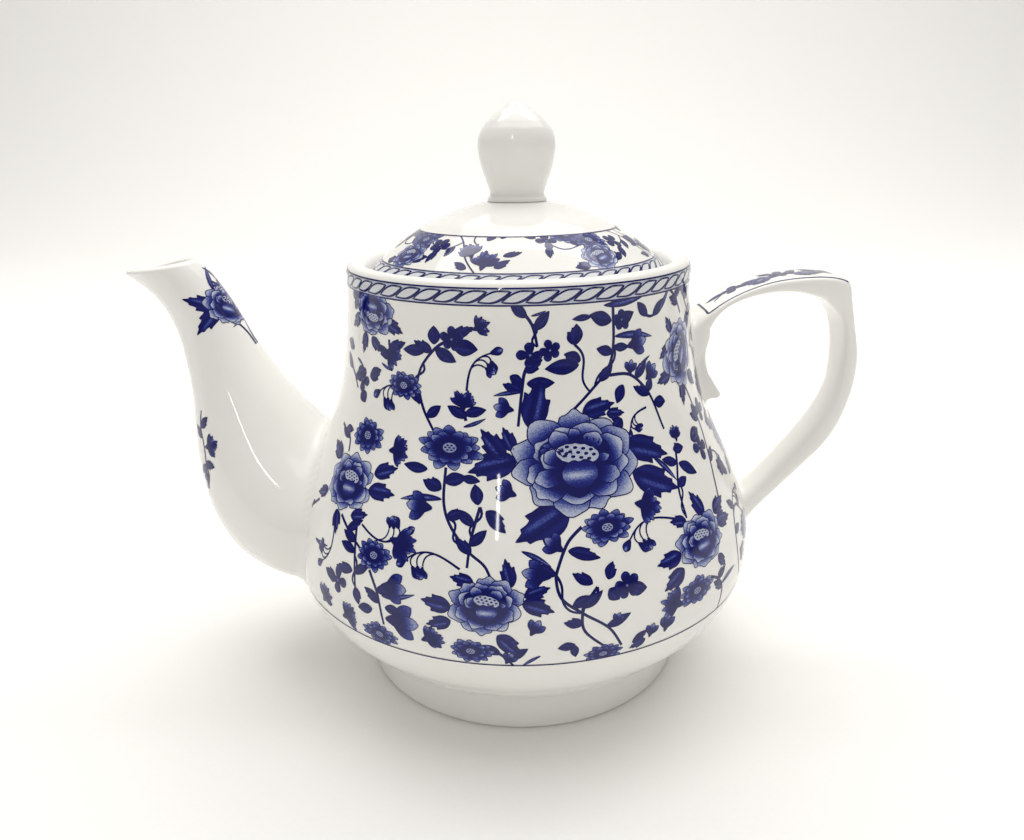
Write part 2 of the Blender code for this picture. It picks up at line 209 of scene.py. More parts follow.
LEAVES = (
    (-27.5, 78, -35, 78, 2.4), (-24, 79, -18, 75.5, 2.7), (-18.5, 80, -11.5, 79, 3.4),
    (-24.5, 80, -24.5, 84.5, 2.9), (-19.5, 44, -24.5, 46, 2.8), (-19, 46, -13.5, 48, 2.8),
    (-14.5, 47.5, -10, 46.5, 1.8), (-10, 41, -11, 46, 2.7), (-8, 39.5, -3, 35, 3.0),
    (-24, 48.5, -31, 48, 2.2), (-38, 14, -37, 9.5, 2.4), (-39.5, 18, -45, 17.5, 2.4),
    (-45, 13.5, -49, 14.5, 2.6), (-33, 10, -37, 8.5, 2.4), (-29.5, 11.5, -26, 11.5, 2.1),
    (-53.5, 64, -51, 61, 3.0), (-49.5, 68.5, -44, 70.5, 3.0), (-57.5, 68.5, -52.5, 69.5, 2.3),
    (15.5, 80, 15.5, 85, 3.3), (27, 85, 20, 86.5, 3.0), (20.5, 86.5, 15, 86.5, 1.3),
    (28, 84, 35, 86, 3.0), (16.5, 75, 7, 74.5, 3.2), (17, 76, 12.5, 78, 2.6), (-2.5, 73, 1, 71, 2.1),
    (2, 71, 9.5, 71, 2.6), (27.5, 78.5, 32.5, 77.5, 1.8), (30, 68.5, 27, 64.5, 2.6),
    (38.5, 65.5, 41, 68.5, 2.1), (41, 62.5, 45.5, 61, 2.7), (44.5, 48.5, 49, 48, 2.3),
    (45, 44.5, 51.5, 40.5, 2.7), (14.5, 21, 10.5, 24, 2.3), (18, 21.5, 19.5, 25.5, 2.4),
    (10, 29.5, 17, 27.5, 2.5), (18, 19, 20, 16, 3.0), (22.5, 18, 26.5, 17, 3.0),
    (28.5, 60, 25.5, 58, 3.0), (17, 9.5, 22.5, 11, 2.1), (10.5, 5.5, 7, 5, 2.0), (10, 5.5, 11, 2, 1.8),
    (54, 48.5, 60, 50, 3.6), (-62, 74, -68, 76, 2.6), (61, 88, 66, 90, 2.4), (60, 57, 63, 53, 2.4),
    (69, 48, 74, 52, 2.6), (23, 3, 26.5, 5, 2.2),
)
THIN_LEAVES = (
    (-19, 41.5, -30, 42), (-15, 60, -9, 61.5), (28, 81, 42, 81.5), (34.5, 70.5, 39.5, 75.5),
    (0, 30, 6.5, 27), (0.5, 69, -7, 69), (-30.5, 14.5, -22.5, 15), (36.5, 48.5, 43.5, 42),
    (-58.5, 72, -53.5, 71), (3.5, 3, -0.5, 0.5), (24.5, 89, 40.5, 88.5), (44.5, 84.5, 52.5, 90),
    (-44, 73, -39.5, 71), (3.5, 87.5, 7.5, 88), (50, 8, 57, 11), (-56, 20, -50, 19),
)
BROAD_LEAVES = (
    (2.5, 60, 7, 72, 9.1), (17, 63, 26.5, 65, 6.0), (24, 62, 29.5, 61.5, 3.4),
    (28, 53.5, 42.5, 49, 6.0), (29, 46, 42, 38, 6.8), (11, 40, -1.5, 32, 9.6), (-1, 52, -13.5, 50, 6.0),
    (-4, 52.5, -10.5, 59.5, 5.3), (-1.5, 54.5, -5, 60, 3.8), (-40, 44, -33, 47.5, 4.6),
    (-40.5, 39.5, -32, 41, 4.0), (-56, 44, -63, 47, 5.6), (-44, 31.5, -38.5, 33, 4.0),
    (-50, 31, -47.5, 25, 4.6), (-57, 34, -62, 31, 4.4), (-14.5, 15.5, -21, 16, 4.0),
    (-14.5, 12, -19.5, 9.5, 4.3), (-2, 21.5, -4, 28, 4.9), (0, 17.5, 6.5, 15.5, 4.0),
    (0.5, 19, 5.5, 21.5, 3.4), (-5, 9, 0, 3.5, 5.6), (-10, 22, -15, 23, 3.8), (37, 22.5, 30, 21, 3.8),
    (37, 18.5, 31, 14.5, 4.7), (48, 29, 45, 36.5, 4.4), (52, 25, 59, 25, 4.0),
    (52, 28, 58.5, 30.5, 3.8), (49.5, 17, 52, 12.5, 6.2), (41, 30, 36, 31, 3.8),
    (-53, 80, -54, 74, 4.2), (-49.5, 79, -44.5, 75.5, 3.6), (-42.5, 84, -35.5, 81.5, 4.2),
    (-57, 84, -63, 80, 4.6), (50, 68.5, 43.5, 66, 4.7), (51, 75.5, 45, 73.5, 4.2),
    (52.5, 79, 49, 83, 4.5), (56.5, 65, 56, 58, 4.8), (26, 3, 22.5, 1, 3.0), (75, 46, 69, 50, 5.0),
    (77, 35, 71, 31, 5.0), (84, 33, 86, 26, 5.0), (62, 66, 68, 62, 4.6), (63, 78, 69, 83, 4.6),
)
SPRAYS = (
    (-14.5, 69, -5, 78.5, 1), (-28.5, 64.5, -46, 63, -1), (-39.5, 30.5, -25.5, 34, -1),
    (-13, 25, -27, 22.5, -1), (37.5, 61.5, 31, 55, -1), (38, 31.5, 23, 26.5, -1), (-49, 27, -53, 15, 1),
    (61, 43, 68, 33, 1), (62, 22, 72, 26, 1), (68, 72, 76, 76, 1),
)
VINES = (
    ((-0.5, 90), (3.5, 85.5), (5, 80)),
    ((4, 77.5), (1.5, 74), (0.5, 68.5), (-0.5, 60.5)),
    ((27.5, 90), (27.5, 80), (25.5, 73.5), (19.5, 68), (10, 60.5)),
    ((24, 71.5), (32, 71), (37.5, 67), (40.5, 62.5), (43, 54.5)),
    ((46, 50), (44.5, 45), (42, 38.5), (41.5, 30.5)),
    ((-13, 84), (-16.5, 83.5), (-19.5, 81.5), (-24, 79), (-28.5, 74), (-30, 69)),
    ((-29, 67.5), (-27, 63), (-23, 57.5)),
    ((-19, 49.5), (-18.5, 41.5), (-16.5, 36), (-12, 30), (-8, 26.5), (-6.5, 23.5)),
    ((-9.5, 40.5), (-11, 33), (-11.5, 25.5)),
    ((-47.5, 30.5), (-44, 28), (-40, 25.5), (-38.5, 24.5)),
    ((-41, 29.5), (-39, 19.5), (-38, 13.5)),
    ((-34.5, 20), (-32, 15.5), (-31, 12), (-30, 6.5)),
    ((13.5, 35), (10, 31.5), (7.5, 25.5), (7, 22.5), (8, 18), (12, 14), (17.5, 9), (20.5, 3)),
    ((15.5, 20), (13, 16.5), (12, 13.5), (12.5, 9), (16.5, 4)),
    ((-14.5, 61.5), (-15, 64)),
    ((-62, 52.5), (-59, 51.5), (-55, 50), (-53.5, 46.5)),
    ((-66, 70), (-62, 68.5), (-59, 66.5), (-56.5, 64)),
    ((52.5, 90), (56.5, 87), (59.5, 83)),
    ((58, 63.5), (61, 58), (63, 50), (61, 42), (58, 34), (56, 28)),
    ((45.5, 12.5), (48.5, 10.5), (50.5, 6.5), (50, 0)),
    ((-6.5, 5.5), (-3.5, 2.5), (-2, 0)),
    ((-41, 79.5), (-40.5, 76), (-39.5, 71.5)),
    ((37.5, 86), (42, 84.5), (45, 85.5)),
    ((-60, 30), (-64, 26), (-68, 22), (-72, 14), (-73, 4)),
    ((70, 20), (66, 24), (62, 22), (60, 14), (62, 4)),
    ((66, 84), (62, 88), (60, 92)),
    ((72, 52), (76, 60), (74, 68), (70, 72)),
)
# Vines that wind round the one before them: (path, windings)
TWINED = (
    (((3.5, 85.5), (5, 80)), 1.0),
    (((27.5, 79), (25.5, 73.5), (21, 69.5)), 1.0),
    (((15.5, 80), (17.5, 75), (19.5, 68)), 1.0),
    (((-28, 75), (-30, 69)), 1.0),
    (((-16.5, 37), (-13.5, 31)), 1.0),
    (((-9.5, 40.5), (-11, 33)), 1.0),
    (((-39.5, 22), (-38, 14)), 1.0),
    (((7, 24), (8, 18), (12, 14)), 1.0),
    (((42.5, 40), (41.5, 31)), 1.0),
    (((15.5, 20), (12, 13.5)), 1.0),
)


# ---------------------------------------------------------------- shapes


def smooth_curve(points, per_span):
    """Points along a Catmull-Rom curve through the given ones."""
    points = np.asarray(points, float)
    padded = np.vstack([points[:1], points, points[-1:]])
    found = []
    for i in range(len(points) - 1):
        a, b, c, d = padded[i : i + 4]
        for step in range(per_span):
            t = step / per_span
            pull = (c - a) * t
            bend = (2 * a - 5 * b + 4 * c - d) * t**2
            swing = (3 * b - a - 3 * c + d) * t**3
            found.append(0.5 * (2 * b + pull + bend + swing))
    found.append(points[-1])
    return np.array(found)


def resampled(points, spacing):
    """The same open path with evenly spaced points."""
    steps = np.hypot(*np.diff(points, axis=0).T)
    along = np.concatenate([[0.0], np.cumsum(steps)])
    count = max(2, int(round(along[-1] / spacing)) + 1)
    at = np.linspace(0.0, along[-1], count)
    return np.stack([np.interp(at, along, points[:, k]) for k in range(points.shape[1])], axis=1)


def outer_wall():
    """(radius, height) up the pot's outside, as fine as the looks need."""
    lower = [(FOOT_RADIUS + (BODY_RADIUS - FOOT_RADIUS) * r, RIM_HEIGHT * z) for r, z in BELLY_LOWER]
    upper = [(NECK_RADIUS + (BODY_RADIUS - NECK_RADIUS) * r, RIM_HEIGHT * z) for r, z in BELLY_UPPER]
    return smooth_curve(lower + upper, 6) - (INSET, 0.0)


def offset_inwards(points, distance):
    """The same line moved sideways by a distance."""
    ahead = np.vstack([points[1:], points[-1:]])
    behind = np.vstack([points[:1], points[:-1]])
    way = ahead - behind
    way /= np.hypot(*way.T)[:, None]
    return points + distance * np.stack([-way[:, 1], way[:, 0]], axis=1)


def pot_profile():
    """The pot's half section: from the floor's middle up inside, over the rim, down outside, under the foot."""
    seat = RIM_HEIGHT - SEAT_DEPTH
    floor = FOOT_RECESS + FLOOR
    throat_end = seat - THROAT_LENGTH
    wall = outer_wall()
    inside = offset_inwards(wall, WALL)
    inside = inside[(inside[:, 1] > floor + 3.5) & (inside[:, 1] < throat_end - 7.5)]
    base = [(0, floor), (FOOT_RADIUS * 0.55, floor + 0.1), (FOOT_RADIUS * 0.85, floor + 0.9), tuple(inside[0])]
    base = smooth_curve(base, 5)
    throat = [tuple(inside[-1]), (THROAT_RADIUS + 4.5, throat_end - 3.0), (THROAT_RADIUS + 1.2, throat_end)]
    throat = smooth_curve(throat + [(THROAT_RADIUS, throat_end + 2.0)], 4)
    ledge = [(THROAT_RADIUS, seat - 0.6), (THROAT_RADIUS + 0.2, seat - 0.15), (THROAT_RADIUS + 0.6, seat)]
    ledge += [(SEAT_RADIUS - 0.6, seat), (SEAT_RADIUS - 0.15, seat + 0.15)]
    lip_width = NECK_RADIUS - INSET - SEAT_RADIUS
    lip = [(SEAT_RADIUS + lip_width * r, seat + SEAT_DEPTH * z) for r, z in reversed(RIM_LIP)]
    lip = smooth_curve(lip + [tuple(wall[-1])], 4)
    foot_inner = FOOT_RADIUS - FOOT_WIDTH
    bottom = (FOOT_RADIUS - INSET, wall[0][1])
    under = smooth_curve([bottom, (FOOT_RADIUS - INSET - 0.12, 0.6), (FOOT_RADIUS - INSET - 0.8, 0.0)], 3)[1:]
    rise = smooth_curve([(foot_inner + 0.8, 0.0), (foot_inner + 0.12, 0.5), (foot_inner - 0.1, 1.4)], 3)
    recess = [(foot_inner - 0.9, FOOT_RECESS - 2.2), (foot_inner - 1.6, FOOT_RECESS - 0.8)]
    recess = smooth_curve(recess + [(foot_inner - 3.4, FOOT_RECESS)], 3)
    middle = [(foot_inner * 0.5, FOOT_RECESS - 0.3), (0.0, FOOT_RECESS - 0.4)]
    return np.vstack([base[:-1], inside[:-1], throat, ledge, lip[:-1], wall[::-1], under, rise, recess, middle])


def lid_profile():
    """The lid's half section: down the crown, round the edge, round the flange and back under the dome."""
    base = LID_BASE
    control = [(LID_RADIUS * r, base + LID_RISE * z) for r, z in LID_TOP]
    top = smooth_curve(control, 6) - (0.0, INSET)
    top[0, 0] = 0.0
    top[:, 0] = np.minimum(top[:, 0], LID_RADIUS)
    flange_outer = THROAT_RADIUS - FLANGE_CLEARANCE
    flange_inner = flange_outer - FLANGE_WALL
    foot = base - FLANGE_DROP
    edge = smooth_curve([tuple(top[-1]), (LID_RADIUS - 0.25, base + 0.35), (LID_RADIUS - 0.9, base)], 3)[1:]
    flange = [(flange_outer + 0.5, base), (flange_outer + 0.1, base - 0.15), (flange_outer, base - 0.5)]
    flange += [(flange_outer - 0.2, foot + 0.9), (flange_outer - 0.4, foot + 0.3), (flange_outer - 1.0, foot)]
    flange += [(flange_inner + 0.8, foot), (flange_inner + 0.15, foot + 0.25), (flange_inner, foot + 0.9)]
    flange += [(flange_inner, base + 0.8)]
    under = top[top[:, 0] < flange_inner - 1.2] - (0.0, LID_WALL - INSET)
    return np.vstack([top, edge, flange, under[::-1]])


def knob_profile():
    """The knob's half section, from its tip down to the foot that is let into the lid."""
    outline = smooth_curve([(KNOB_RADIUS * r, KNOB_BASE + KNOB_HEIGHT * z) for r, z in KNOB_OUTLINE], 5)
    outline[0, 0] = 0.0
    # The slip that holds the knob makes a small fillet, which runs just into the lid's crown
    low = outline[:, 1] < KNOB_BASE + 1.6
    up = (outline[low, 1] - KNOB_BASE) / 1.6
    outline[low, 0] += 0.45 * (1 - np.sqrt(1 - (1 - up) ** 2))
    foot = outline[-1]
    end = [(foot[0] + 0.1, KNOB_BASE - 0.75), (foot[0] * 0.5, KNOB_BASE - 0.8), (0.0, KNOB_BASE - 0.8)]
    return np.vstack([outline, end])


class Turned:
    """A turned surface about the pot's axis, measured in degrees round and millimetres along its half section."""

    def __init__(self, half_section, start_height):
        self.line = np.asarray(half_section, float)
        along = np.concatenate([[0.0], np.cumsum(np.hypot(*np.diff(self.line, axis=0).T))])
        order = np.argsort(self.line[:, 1])
        self.along = along - np.interp(start_height, self.line[order, 1], along[order])
        way = np.gradient(self.line, axis=0)
        way /= np.hypot(*way.T)[:, None]
        self.facing = np.stack([way[:, 1], -way[:, 0]], axis=1)

    def radius(self, up):
        return np.interp(up, self.along, self.line[:, 0])

    def height_of(self, z):
        order = np.argsort(self.line[:, 1])
        return float(np.interp(z, self.line[order, 1], self.along[order]))

    def height_of_radius(self, radius):
        return float(np.interp(-radius, -self.line[:, 0], self.along))

    def place(self, degrees, up, lift):
        """(points, normals) in millimetres; 0 degrees faces -Y and more turns towards +X."""
        turn = np.radians(degrees)
        out = np.stack([np.sin(turn), -np.cos(turn)], axis=1)
        section = np.stack([np.interp(up, self.along, self.line[:, k]) for k in (0, 1)], axis=1)
        facing = np.stack([np.interp(up, self.along, self.facing[:, k]) for k in (0, 1)], axis=1)
        facing /= np.hypot(*facing.T)[:, None]
        at = section + facing * np.asarray(lift)[:, None]
        points = np.column_stack([AXIS_X + at[:, 0] * out[:, 0], at[:, 0] * out[:, 1], at[:, 1]])
        normals = np.column_stack([facing[:, 0] * out[:, 0], facing[:, 0] * out[:, 1], facing[:, 1]])
        return points, normals


def body_distance(points):
    """How far each point is outside the pot's outer wall, in millimetres, and the way out."""
    wall = outer_wall()
    slope = np.gradient(wall[:, 0]) / np.gradient(wall[:, 1])
    out = points[:, :2] - (AXIS_X, 0.0)
    radius = np.hypot(*out.T)
    wall_radius = np.interp(points[:, 2], wall[:, 1], wall[:, 0])
    lean = np.interp(points[:, 2], wall[:, 1], slope)
    level = 1 / np.sqrt(1 + lean**2)
    way = np.column_stack([out / radius[:, None] * level[:, None], -lean * level])
    return (radius - wall_radius) * level, way


# ---------------------------------------------------------------- meshes


def new_object(name, points, faces, normals=None):
    """A mesh object at the origin. Points are in millimetres."""
    mesh = bpy.data.meshes.new(name)
    mesh.from_pydata((np.asarray(points) * MM).tolist(), [], [list(map(int, f)) for f in faces])
    mesh.validate()
    mesh.polygons.foreach_set("use_smooth", [True] * len(mesh.polygons))
    if normals is not None:
        mesh.normals_split_custom_set_from_vertices(np.asarray(normals).tolist())
    mesh.update()
    obj = bpy.data.objects.new(name, mesh)
    bpy.context.scene.collection.objects.link(obj)
    return obj


def lathe(name, profile, steps):
    """A closed solid of revolution; a profile point on the axis becomes one pole."""
    rings, points = [], []
    for r, z in profile:
        if r < 1e-6:
            rings.append([len(points)])
            points.append((AXIS_X, 0.0, z))
            continue
        rings.append(list(range(len(points), len(points) + steps)))
        for k in range(steps):
            turn = 2 * math.pi * k / steps
            points.append((AXIS_X + r * math.cos(turn), r * math.sin(turn), z))
    faces = []
    for a, b in zip(rings, rings[1:]):
        if len(a) == 1:
            faces += [(a[0], b[k], b[(k + 1) % steps]) for k in range(steps)]
        elif len(b) == 1:
            faces += [(a[k], b[0], a[(k + 1) % steps]) for k in range(steps)]
        else:
            faces += [(a[k], b[k], b[(k + 1) % steps], a[(k + 1) % steps]) for k in range(steps)]
    obj = new_object(name, points, faces)
    face_outwards(obj)
    return obj


def face_outwards(obj):
    """Merges doubled points of a closed mesh and turns its faces outwards."""
    made = bmesh.new()
    made.from_mesh(obj.data)
    bmesh.ops.remove_doubles(made, verts=made.verts, dist=1e-7)
    bmesh.ops.recalc_face_normals(made, faces=made.faces)
    if made.calc_volume(signed=True) < 0:
        bmesh.ops.reverse_faces(made, faces=made.faces)
    made.to_mesh(obj.data)
    made.free()
    obj.data.polygons.foreach_set("use_smooth", [True] * len(obj.data.polygons))
    obj.data.update()


def loft_faces(rows, count):
    """Quads between rings of points that follow one another."""
    faces = []
    for i in range(rows - 1):
        for j in range(count):
            k = (j + 1) % count
            faces.append((i * count + j, i * count + k, (i + 1) * count + k, (i + 1) * count + j))
    return faces


def section_ring(outer, inner, half_width, squareness, count):
    """A ring of points round a rounded section, from its outer to its inner (x, z) point."""
    turn = 2 * np.pi * np.arange(count) / count
    along = np.copysign(np.abs(np.cos(turn)) ** (2 / squareness), np.cos(turn))
    across = np.copysign(np.abs(np.sin(turn)) ** (2 / squareness), np.sin(turn))
    middle = (outer + inner) / 2
    reach = (outer - inner) / 2
    x = AXIS_X + middle[0] + reach[0] * along
    return np.column_stack([x, half_width * across, middle[1] + reach[1] * along])


def real_sections(sections):
    """Sections in millimetres from shares of the body's radius and the rim's height."""
    rows = np.array(sections, float)
    rows[:, :5] *= (BODY_RADIUS, RIM_HEIGHT, BODY_RADIUS, RIM_HEIGHT, BODY_RADIUS)
    return rows


def filleted(points, normals, fillet, depth):
    """Flares what comes near the pot's wall into a round fillet, and stops it a depth inside the wall."""
    away, way_out = body_distance(points)
    near = np.clip(away, 0.0, fillet)
    flare = fillet - np.sqrt(fillet**2 - (fillet - near) ** 2)
    flare[away >= fillet] = 0.0
    sideways = normals - way_out * np.sum(normals * way_out, axis=1)[:, None]
    length = np.linalg.norm(sideways, axis=1)
    sideways /= np.maximum(length, 1e-6)[:, None]
    moved = points + sideways * (flare * np.clip(length * 1.5, 0, 1))[:, None]
    away, way_out = body_distance(moved)
    short = np.maximum(-depth - away, 0.0)
    return moved + way_out * short[:, None]


def vertex_normals(obj):
    found = np.empty(len(obj.data.vertices) * 3, np.float32)
    obj.data.vertex_normals.foreach_get("vector", found)
    return found.reshape(-1, 3).astype(float)


def vertex_points(obj):
    found = np.empty(len(obj.data.vertices) * 3, np.float32)
    obj.data.vertices.foreach_get("co", found)
    return found.reshape(-1, 3).astype(float) / MM


def set_points(obj, points):
    obj.data.vertices.foreach_set("co", (points * MM).astype(np.float32).ravel())
    obj.data.update()


def as_plain_mesh(obj):
    """The object's evaluated mesh in place of its modifiers."""
    graph = bpy.context.evaluated_depsgraph_get()
    mesh = bpy.data.meshes.new_from_object(obj.evaluated_get(graph))
    obj.modifiers.clear()
    old = obj.data
    obj.data = mesh
    bpy.data.meshes.remove(old)
    return obj


# ---------------------------------------------------------------- print design


class Sheet:
    """Flat print: triangles in millimetres across and up, each point with its ink and its layer."""

    def __init__(self):
        self.points = []
        self.ink = []
        self.layer = []
        self.faces = []
        self.count = 0

    def add(self, points, ink, layer, faces):
        points = np.asarray(points, float)
        self.points.append(points)
        self.ink.append(np.broadcast_to(np.asarray(ink, float), len(points)).copy())
        self.layer.append(np.broadcast_to(np.asarray(layer, float), len(points)).copy())
        self.faces.append(np.asarray(faces, int).reshape(-1, 3) + self.count)
        self.count += len(points)

    def fill(self, outline, tone, layer, rings=3, middle=None):
        """A filled outline, anticlockwise, shaded from its middle outwards by tone(x, y)."""
        outline = np.asarray(outline, float)
        n = len(outline)
        middle = outline.mean(axis=0) if middle is None else np.asarray(middle, float)
        parts = [middle[None]] + [middle + (outline - middle) * (k / rings) for k in range(1, rings + 1)]
        points = np.vstack(parts)
        j = np.arange(n)
        k = (j + 1) % n
        faces = [np.column_stack([np.zeros(n, int), 1 + j, 1 + k])]
        for ring in range(1, rings):
            a, b = 1 + (ring - 1) * n, 1 + ring * n
            faces += [np.column_stack([a + j, b + j, b + k]), np.column_stack([a + j, b + k, a + k])]
        ink = tone(points[:, 0], points[:, 1]) if callable(tone) else tone
        self.add(points, ink, layer, np.vstack(faces))

    def line(self, path, width, ink, layer, closed=False):
        """A ribbon along a path; width is one number or one for each point."""
        path = np.asarray(path, float)
        n = len(path)
        if closed:
            way = np.roll(path, -1, axis=0) - np.roll(path, 1, axis=0)
        else:
            way = np.gradient(path, axis=0)
        way /= np.maximum(np.hypot(*way.T), 1e-9)[:, None]
        side = np.column_stack([-way[:, 1], way[:, 0]]) * (np.broadcast_to(width, n) / 2)[:, None]
        self.add(np.vstack([path + side, path - side]), ink, layer, ribbon_faces(n, closed))

    def outlined(self, outline, tone, layer, line=0.24, rings=3, middle=None):
        """A filled outline with a solid line round it."""
        self.fill(outline, tone, layer, rings, middle)
        self.line(outline, line, 1.0, layer + LINE_ABOVE, closed=True)

    def joined(self):
        """(points, ink, layer, faces) of everything on the sheet."""
        return np.vstack(self.points), np.concatenate(self.ink), np.concatenate(self.layer), np.vstack(self.faces)

    def stamp(self, motif, across=0.0, up=0.0, turn=0.0, raised=0.0):
        """Copies another sheet's print onto this one."""
        points, ink, layer, faces = motif.joined()
        self.add(turned_outline(points, turn) + (across, up), ink, layer + raised, faces)


def ribbon_faces(n, closed):
    """Triangles between n points down one side of a ribbon and the n that follow down its other side."""
    j = np.arange(n if closed else n - 1)
    k = (j + 1) % n
    return np.vstack([np.column_stack([j, n + j, n + k]), np.column_stack([j, n + k, k])])


def ease(x, low, high):
    """0 below low, 1 above high, and a smooth step between."""
    t = np.clip((x - low) / (high - low), 0.0, 1.0)
    return t * t * (3 - 2 * t)


ROUND_PETAL = (
    (0.0, 0.0), (0.24, 0.05), (0.52, 0.22), (0.84, 0.48), (1.0, 0.70), (0.90, 0.88), (0.55, 0.98),
    (0.2, 1.01), (0.0, 1.0),
)
POINTED_PETAL = (
    (0.0, 0.0), (0.30, 0.06), (0.58, 0.24), (0.92, 0.48), (1.0, 0.64), (0.82, 0.80), (0.46, 0.92),
    (0.14, 0.98), (0.0, 1.0),
)
LENS_LEAF = (
    (0.0, 0.0), (0.34, 0.06), (0.76, 0.22), (1.0, 0.43), (0.90, 0.61), (0.60, 0.79), (0.25, 0.92),
    (0.07, 0.98), (0.0, 1.0),
)
NOTCHED_LEAF = (
    (0.0, 0.0), (0.40, 0.06), (0.84, 0.20), (1.0, 0.36), (0.97, 0.52), (1.0, 0.64), (0.66, 0.62),
    (0.50, 0.73), (0.48, 0.82), (0.26, 0.84), (0.10, 0.94), (0.0, 1.0),
)


def mirrored_outline(right, left, length, width, per_span):
    """An anticlockwise outline from the shapes of its two sides, in half widths and lengths."""
    right = smooth_curve(right, per_span) * (width / 2, length)
    left = smooth_curve(left, per_span) * (-width / 2, length)
    return np.vstack([right, left[::-1][1:-1]])


def petal_outline(length, width, point=0.0, frill=0.0, lobes=3, per_span=2):
    """A petal from its root at the origin up to its tip."""
    shape = np.array(ROUND_PETAL) * (1 - point) + np.array(POINTED_PETAL) * point
    outline = mirrored_outline(shape, shape, length, width, per_span)
    wave = np.cos(outline[:, 0] / width * 2 * np.pi * lobes / 2) - 0.6
    outline[:, 1] += frill * length * wave * ease(outline[:, 1] / length, 0.72, 0.95)
    return outline


def leaf_outline(length, width, notched=0, per_span=2):
    """A leaf from its root up to a sharp tip; 1 or 2 of its sides may be notched."""
    right = NOTCHED_LEAF if notched >= 1 else LENS_LEAF
    left = NOTCHED_LEAF if notched >= 2 else LENS_LEAF
    return mirrored_outline(right, left, length, width, per_span)


def turned_outline(outline, degrees):
    """Turns flat points anticlockwise about the origin."""
    c, s = math.cos(math.radians(degrees)), math.sin(math.radians(degrees))
    return outline @ np.array([[c, s], [-s, c]])


def bent(sheet, amount, length):
    """Bends a sheet that grows up the page sideways, by a share of its length."""
    for p in sheet.points:
        p[:, 0] += amount * length * (np.clip(p[:, 1], 0, None) / length) ** 2
    return sheet


def shaded(root, reach, pale, low=0.5, high=1.0, scale=(1.0, 1.0)):
    """A tone that is solid at a petal's root and pale at its tip."""

    def tone(x, y):
        away = np.hypot(x / scale[0] - root[0], y / scale[1] - root[1]) / reach
        return 1.0 - (1.0 - pale) * ease(away, low, high)

    return tone


def peony(draw, across, up, fine=True):
    """A full flower seen from a little above, its dotted seed head behind a cupped petal."""
    sheet = Sheet()
    line = 0.3 if fine else 0.24
    size = (across, up)
    heart = np.array([0.02, 0.05])
    count = 11 if fine else 10
    for ring, (petals, reach, broad) in enumerate(((count, 1.0, 0.58), (count - 2, 0.80, 0.50))):
        for i in range(petals):
            angle = 360 * (i + 0.5 * ring) / petals + draw.uniform(-8, 8)
            length = reach * draw.uniform(0.90, 1.05)
            width = broad * draw.uniform(0.85, 1.2)
            point, frill = draw.uniform(0.0, 0.35), draw.uniform(0.02, 0.05)
            outline = petal_outline(length, width, point, frill, draw.choice((2, 3, 4)))
            outline = turned_outline(outline, angle) + heart * 0.6
            facing = math.radians(angle)
            middle = (heart * 0.6 + np.array([-math.sin(facing), math.cos(facing)]) * length * 0.6) * size
            level = ring * 2 + i % 2
            tone = shaded(heart * 0.6, length, draw.uniform(0.08, 0.22), 0.54 + 0.08 * ring, 0.99, scale=size)
            sheet.fill(outline * size, tone, level, rings=5, middle=middle)
            sheet.line(outline * size, line, 1.0, level + LINE_ABOVE, closed=True)
    dark = turned_outline(petal_outline(1.16, 1.1), 0) - (0.0, 0.60)
    sheet.fill(dark * size, 1.0, 4.4, rings=4)
    # Petals that hug the seed head, most of them on one side
    hugging = (
        (70, 0.56, 0.42, (0.0, -0.02), 0.14), (20, 0.60, 0.30, (-0.10, 0.06), 0.16), (-34, 0.52, 0.34, (0.06, 0.10), 0.2),
        (50, 0.44, 0.32, (-0.12, -0.04), 0.2), (-78, 0.36, 0.17, (0.16, 0.0), 0.3), (104, 0.62, 0.34, (-0.04, -0.14), 0.2),
        (-108, 0.6, 0.34, (0.08, -0.14), 0.24),
    )
    for k, (angle, length, broad, shift, pale) in enumerate(hugging if fine else hugging[:5]):
        root = heart + np.array(shift)
        outline = turned_outline(petal_outline(length, broad, 0.15, 0.03), angle) + root
        sheet.outlined(outline * size, shaded(root, length, pale, 0.45, 1.0, scale=size), 4.8 + k % 2 * 0.6, line, rings=4)
    # Seed head
    turn = 2 * np.pi * np.arange(42) / 42
    crown = np.column_stack([np.cos(turn) * 0.34, np.sin(turn) * (0.20 + 0.010 * np.cos(turn * 14))])
    crown = turned_outline(crown, -14) + heart + (0.02, 0.17)
    sheet.outlined(crown * size, 0.17, 6.4, line, rings=3)
    dot = np.column_stack([np.cos(turn[::5]) * 0.036, np.sin(turn[::5]) * 0.030])
    for count, y in ((4, 0.115), (5, 0.03), (4, -0.055)):
        for i in range(count):
            x = (i - (count - 1) / 2) * 0.125
            spot = turned_outline(np.array([[x, y - 0.03 * abs(x)]]), -14)[0] + heart + (0.02, 0.17)
            sheet.fill((dot + spot) * size, 1.0, 7.2, rings=1)
    # Cupped petal in front
    cup = np.column_stack([np.cos(turn) * 0.28, np.sin(turn) * 0.27]) + heart + (0.03, -0.20)
    cup[:, 1] -= 0.05 * np.exp(-(((cup[:, 0] - heart[0] - 0.03) / 0.05) ** 2)) * (np.sin(turn) > 0)

    def cup_tone(x, y):
        glow = np.exp(-(((y / up + 0.17) / 0.10) ** 2))
        return 0.86 - 0.68 * glow * (1 - 0.6 * (x / across / 0.3) ** 2)

    sheet.outlined(cup * size, cup_tone, 7.8, line, rings=6)
    return sheet


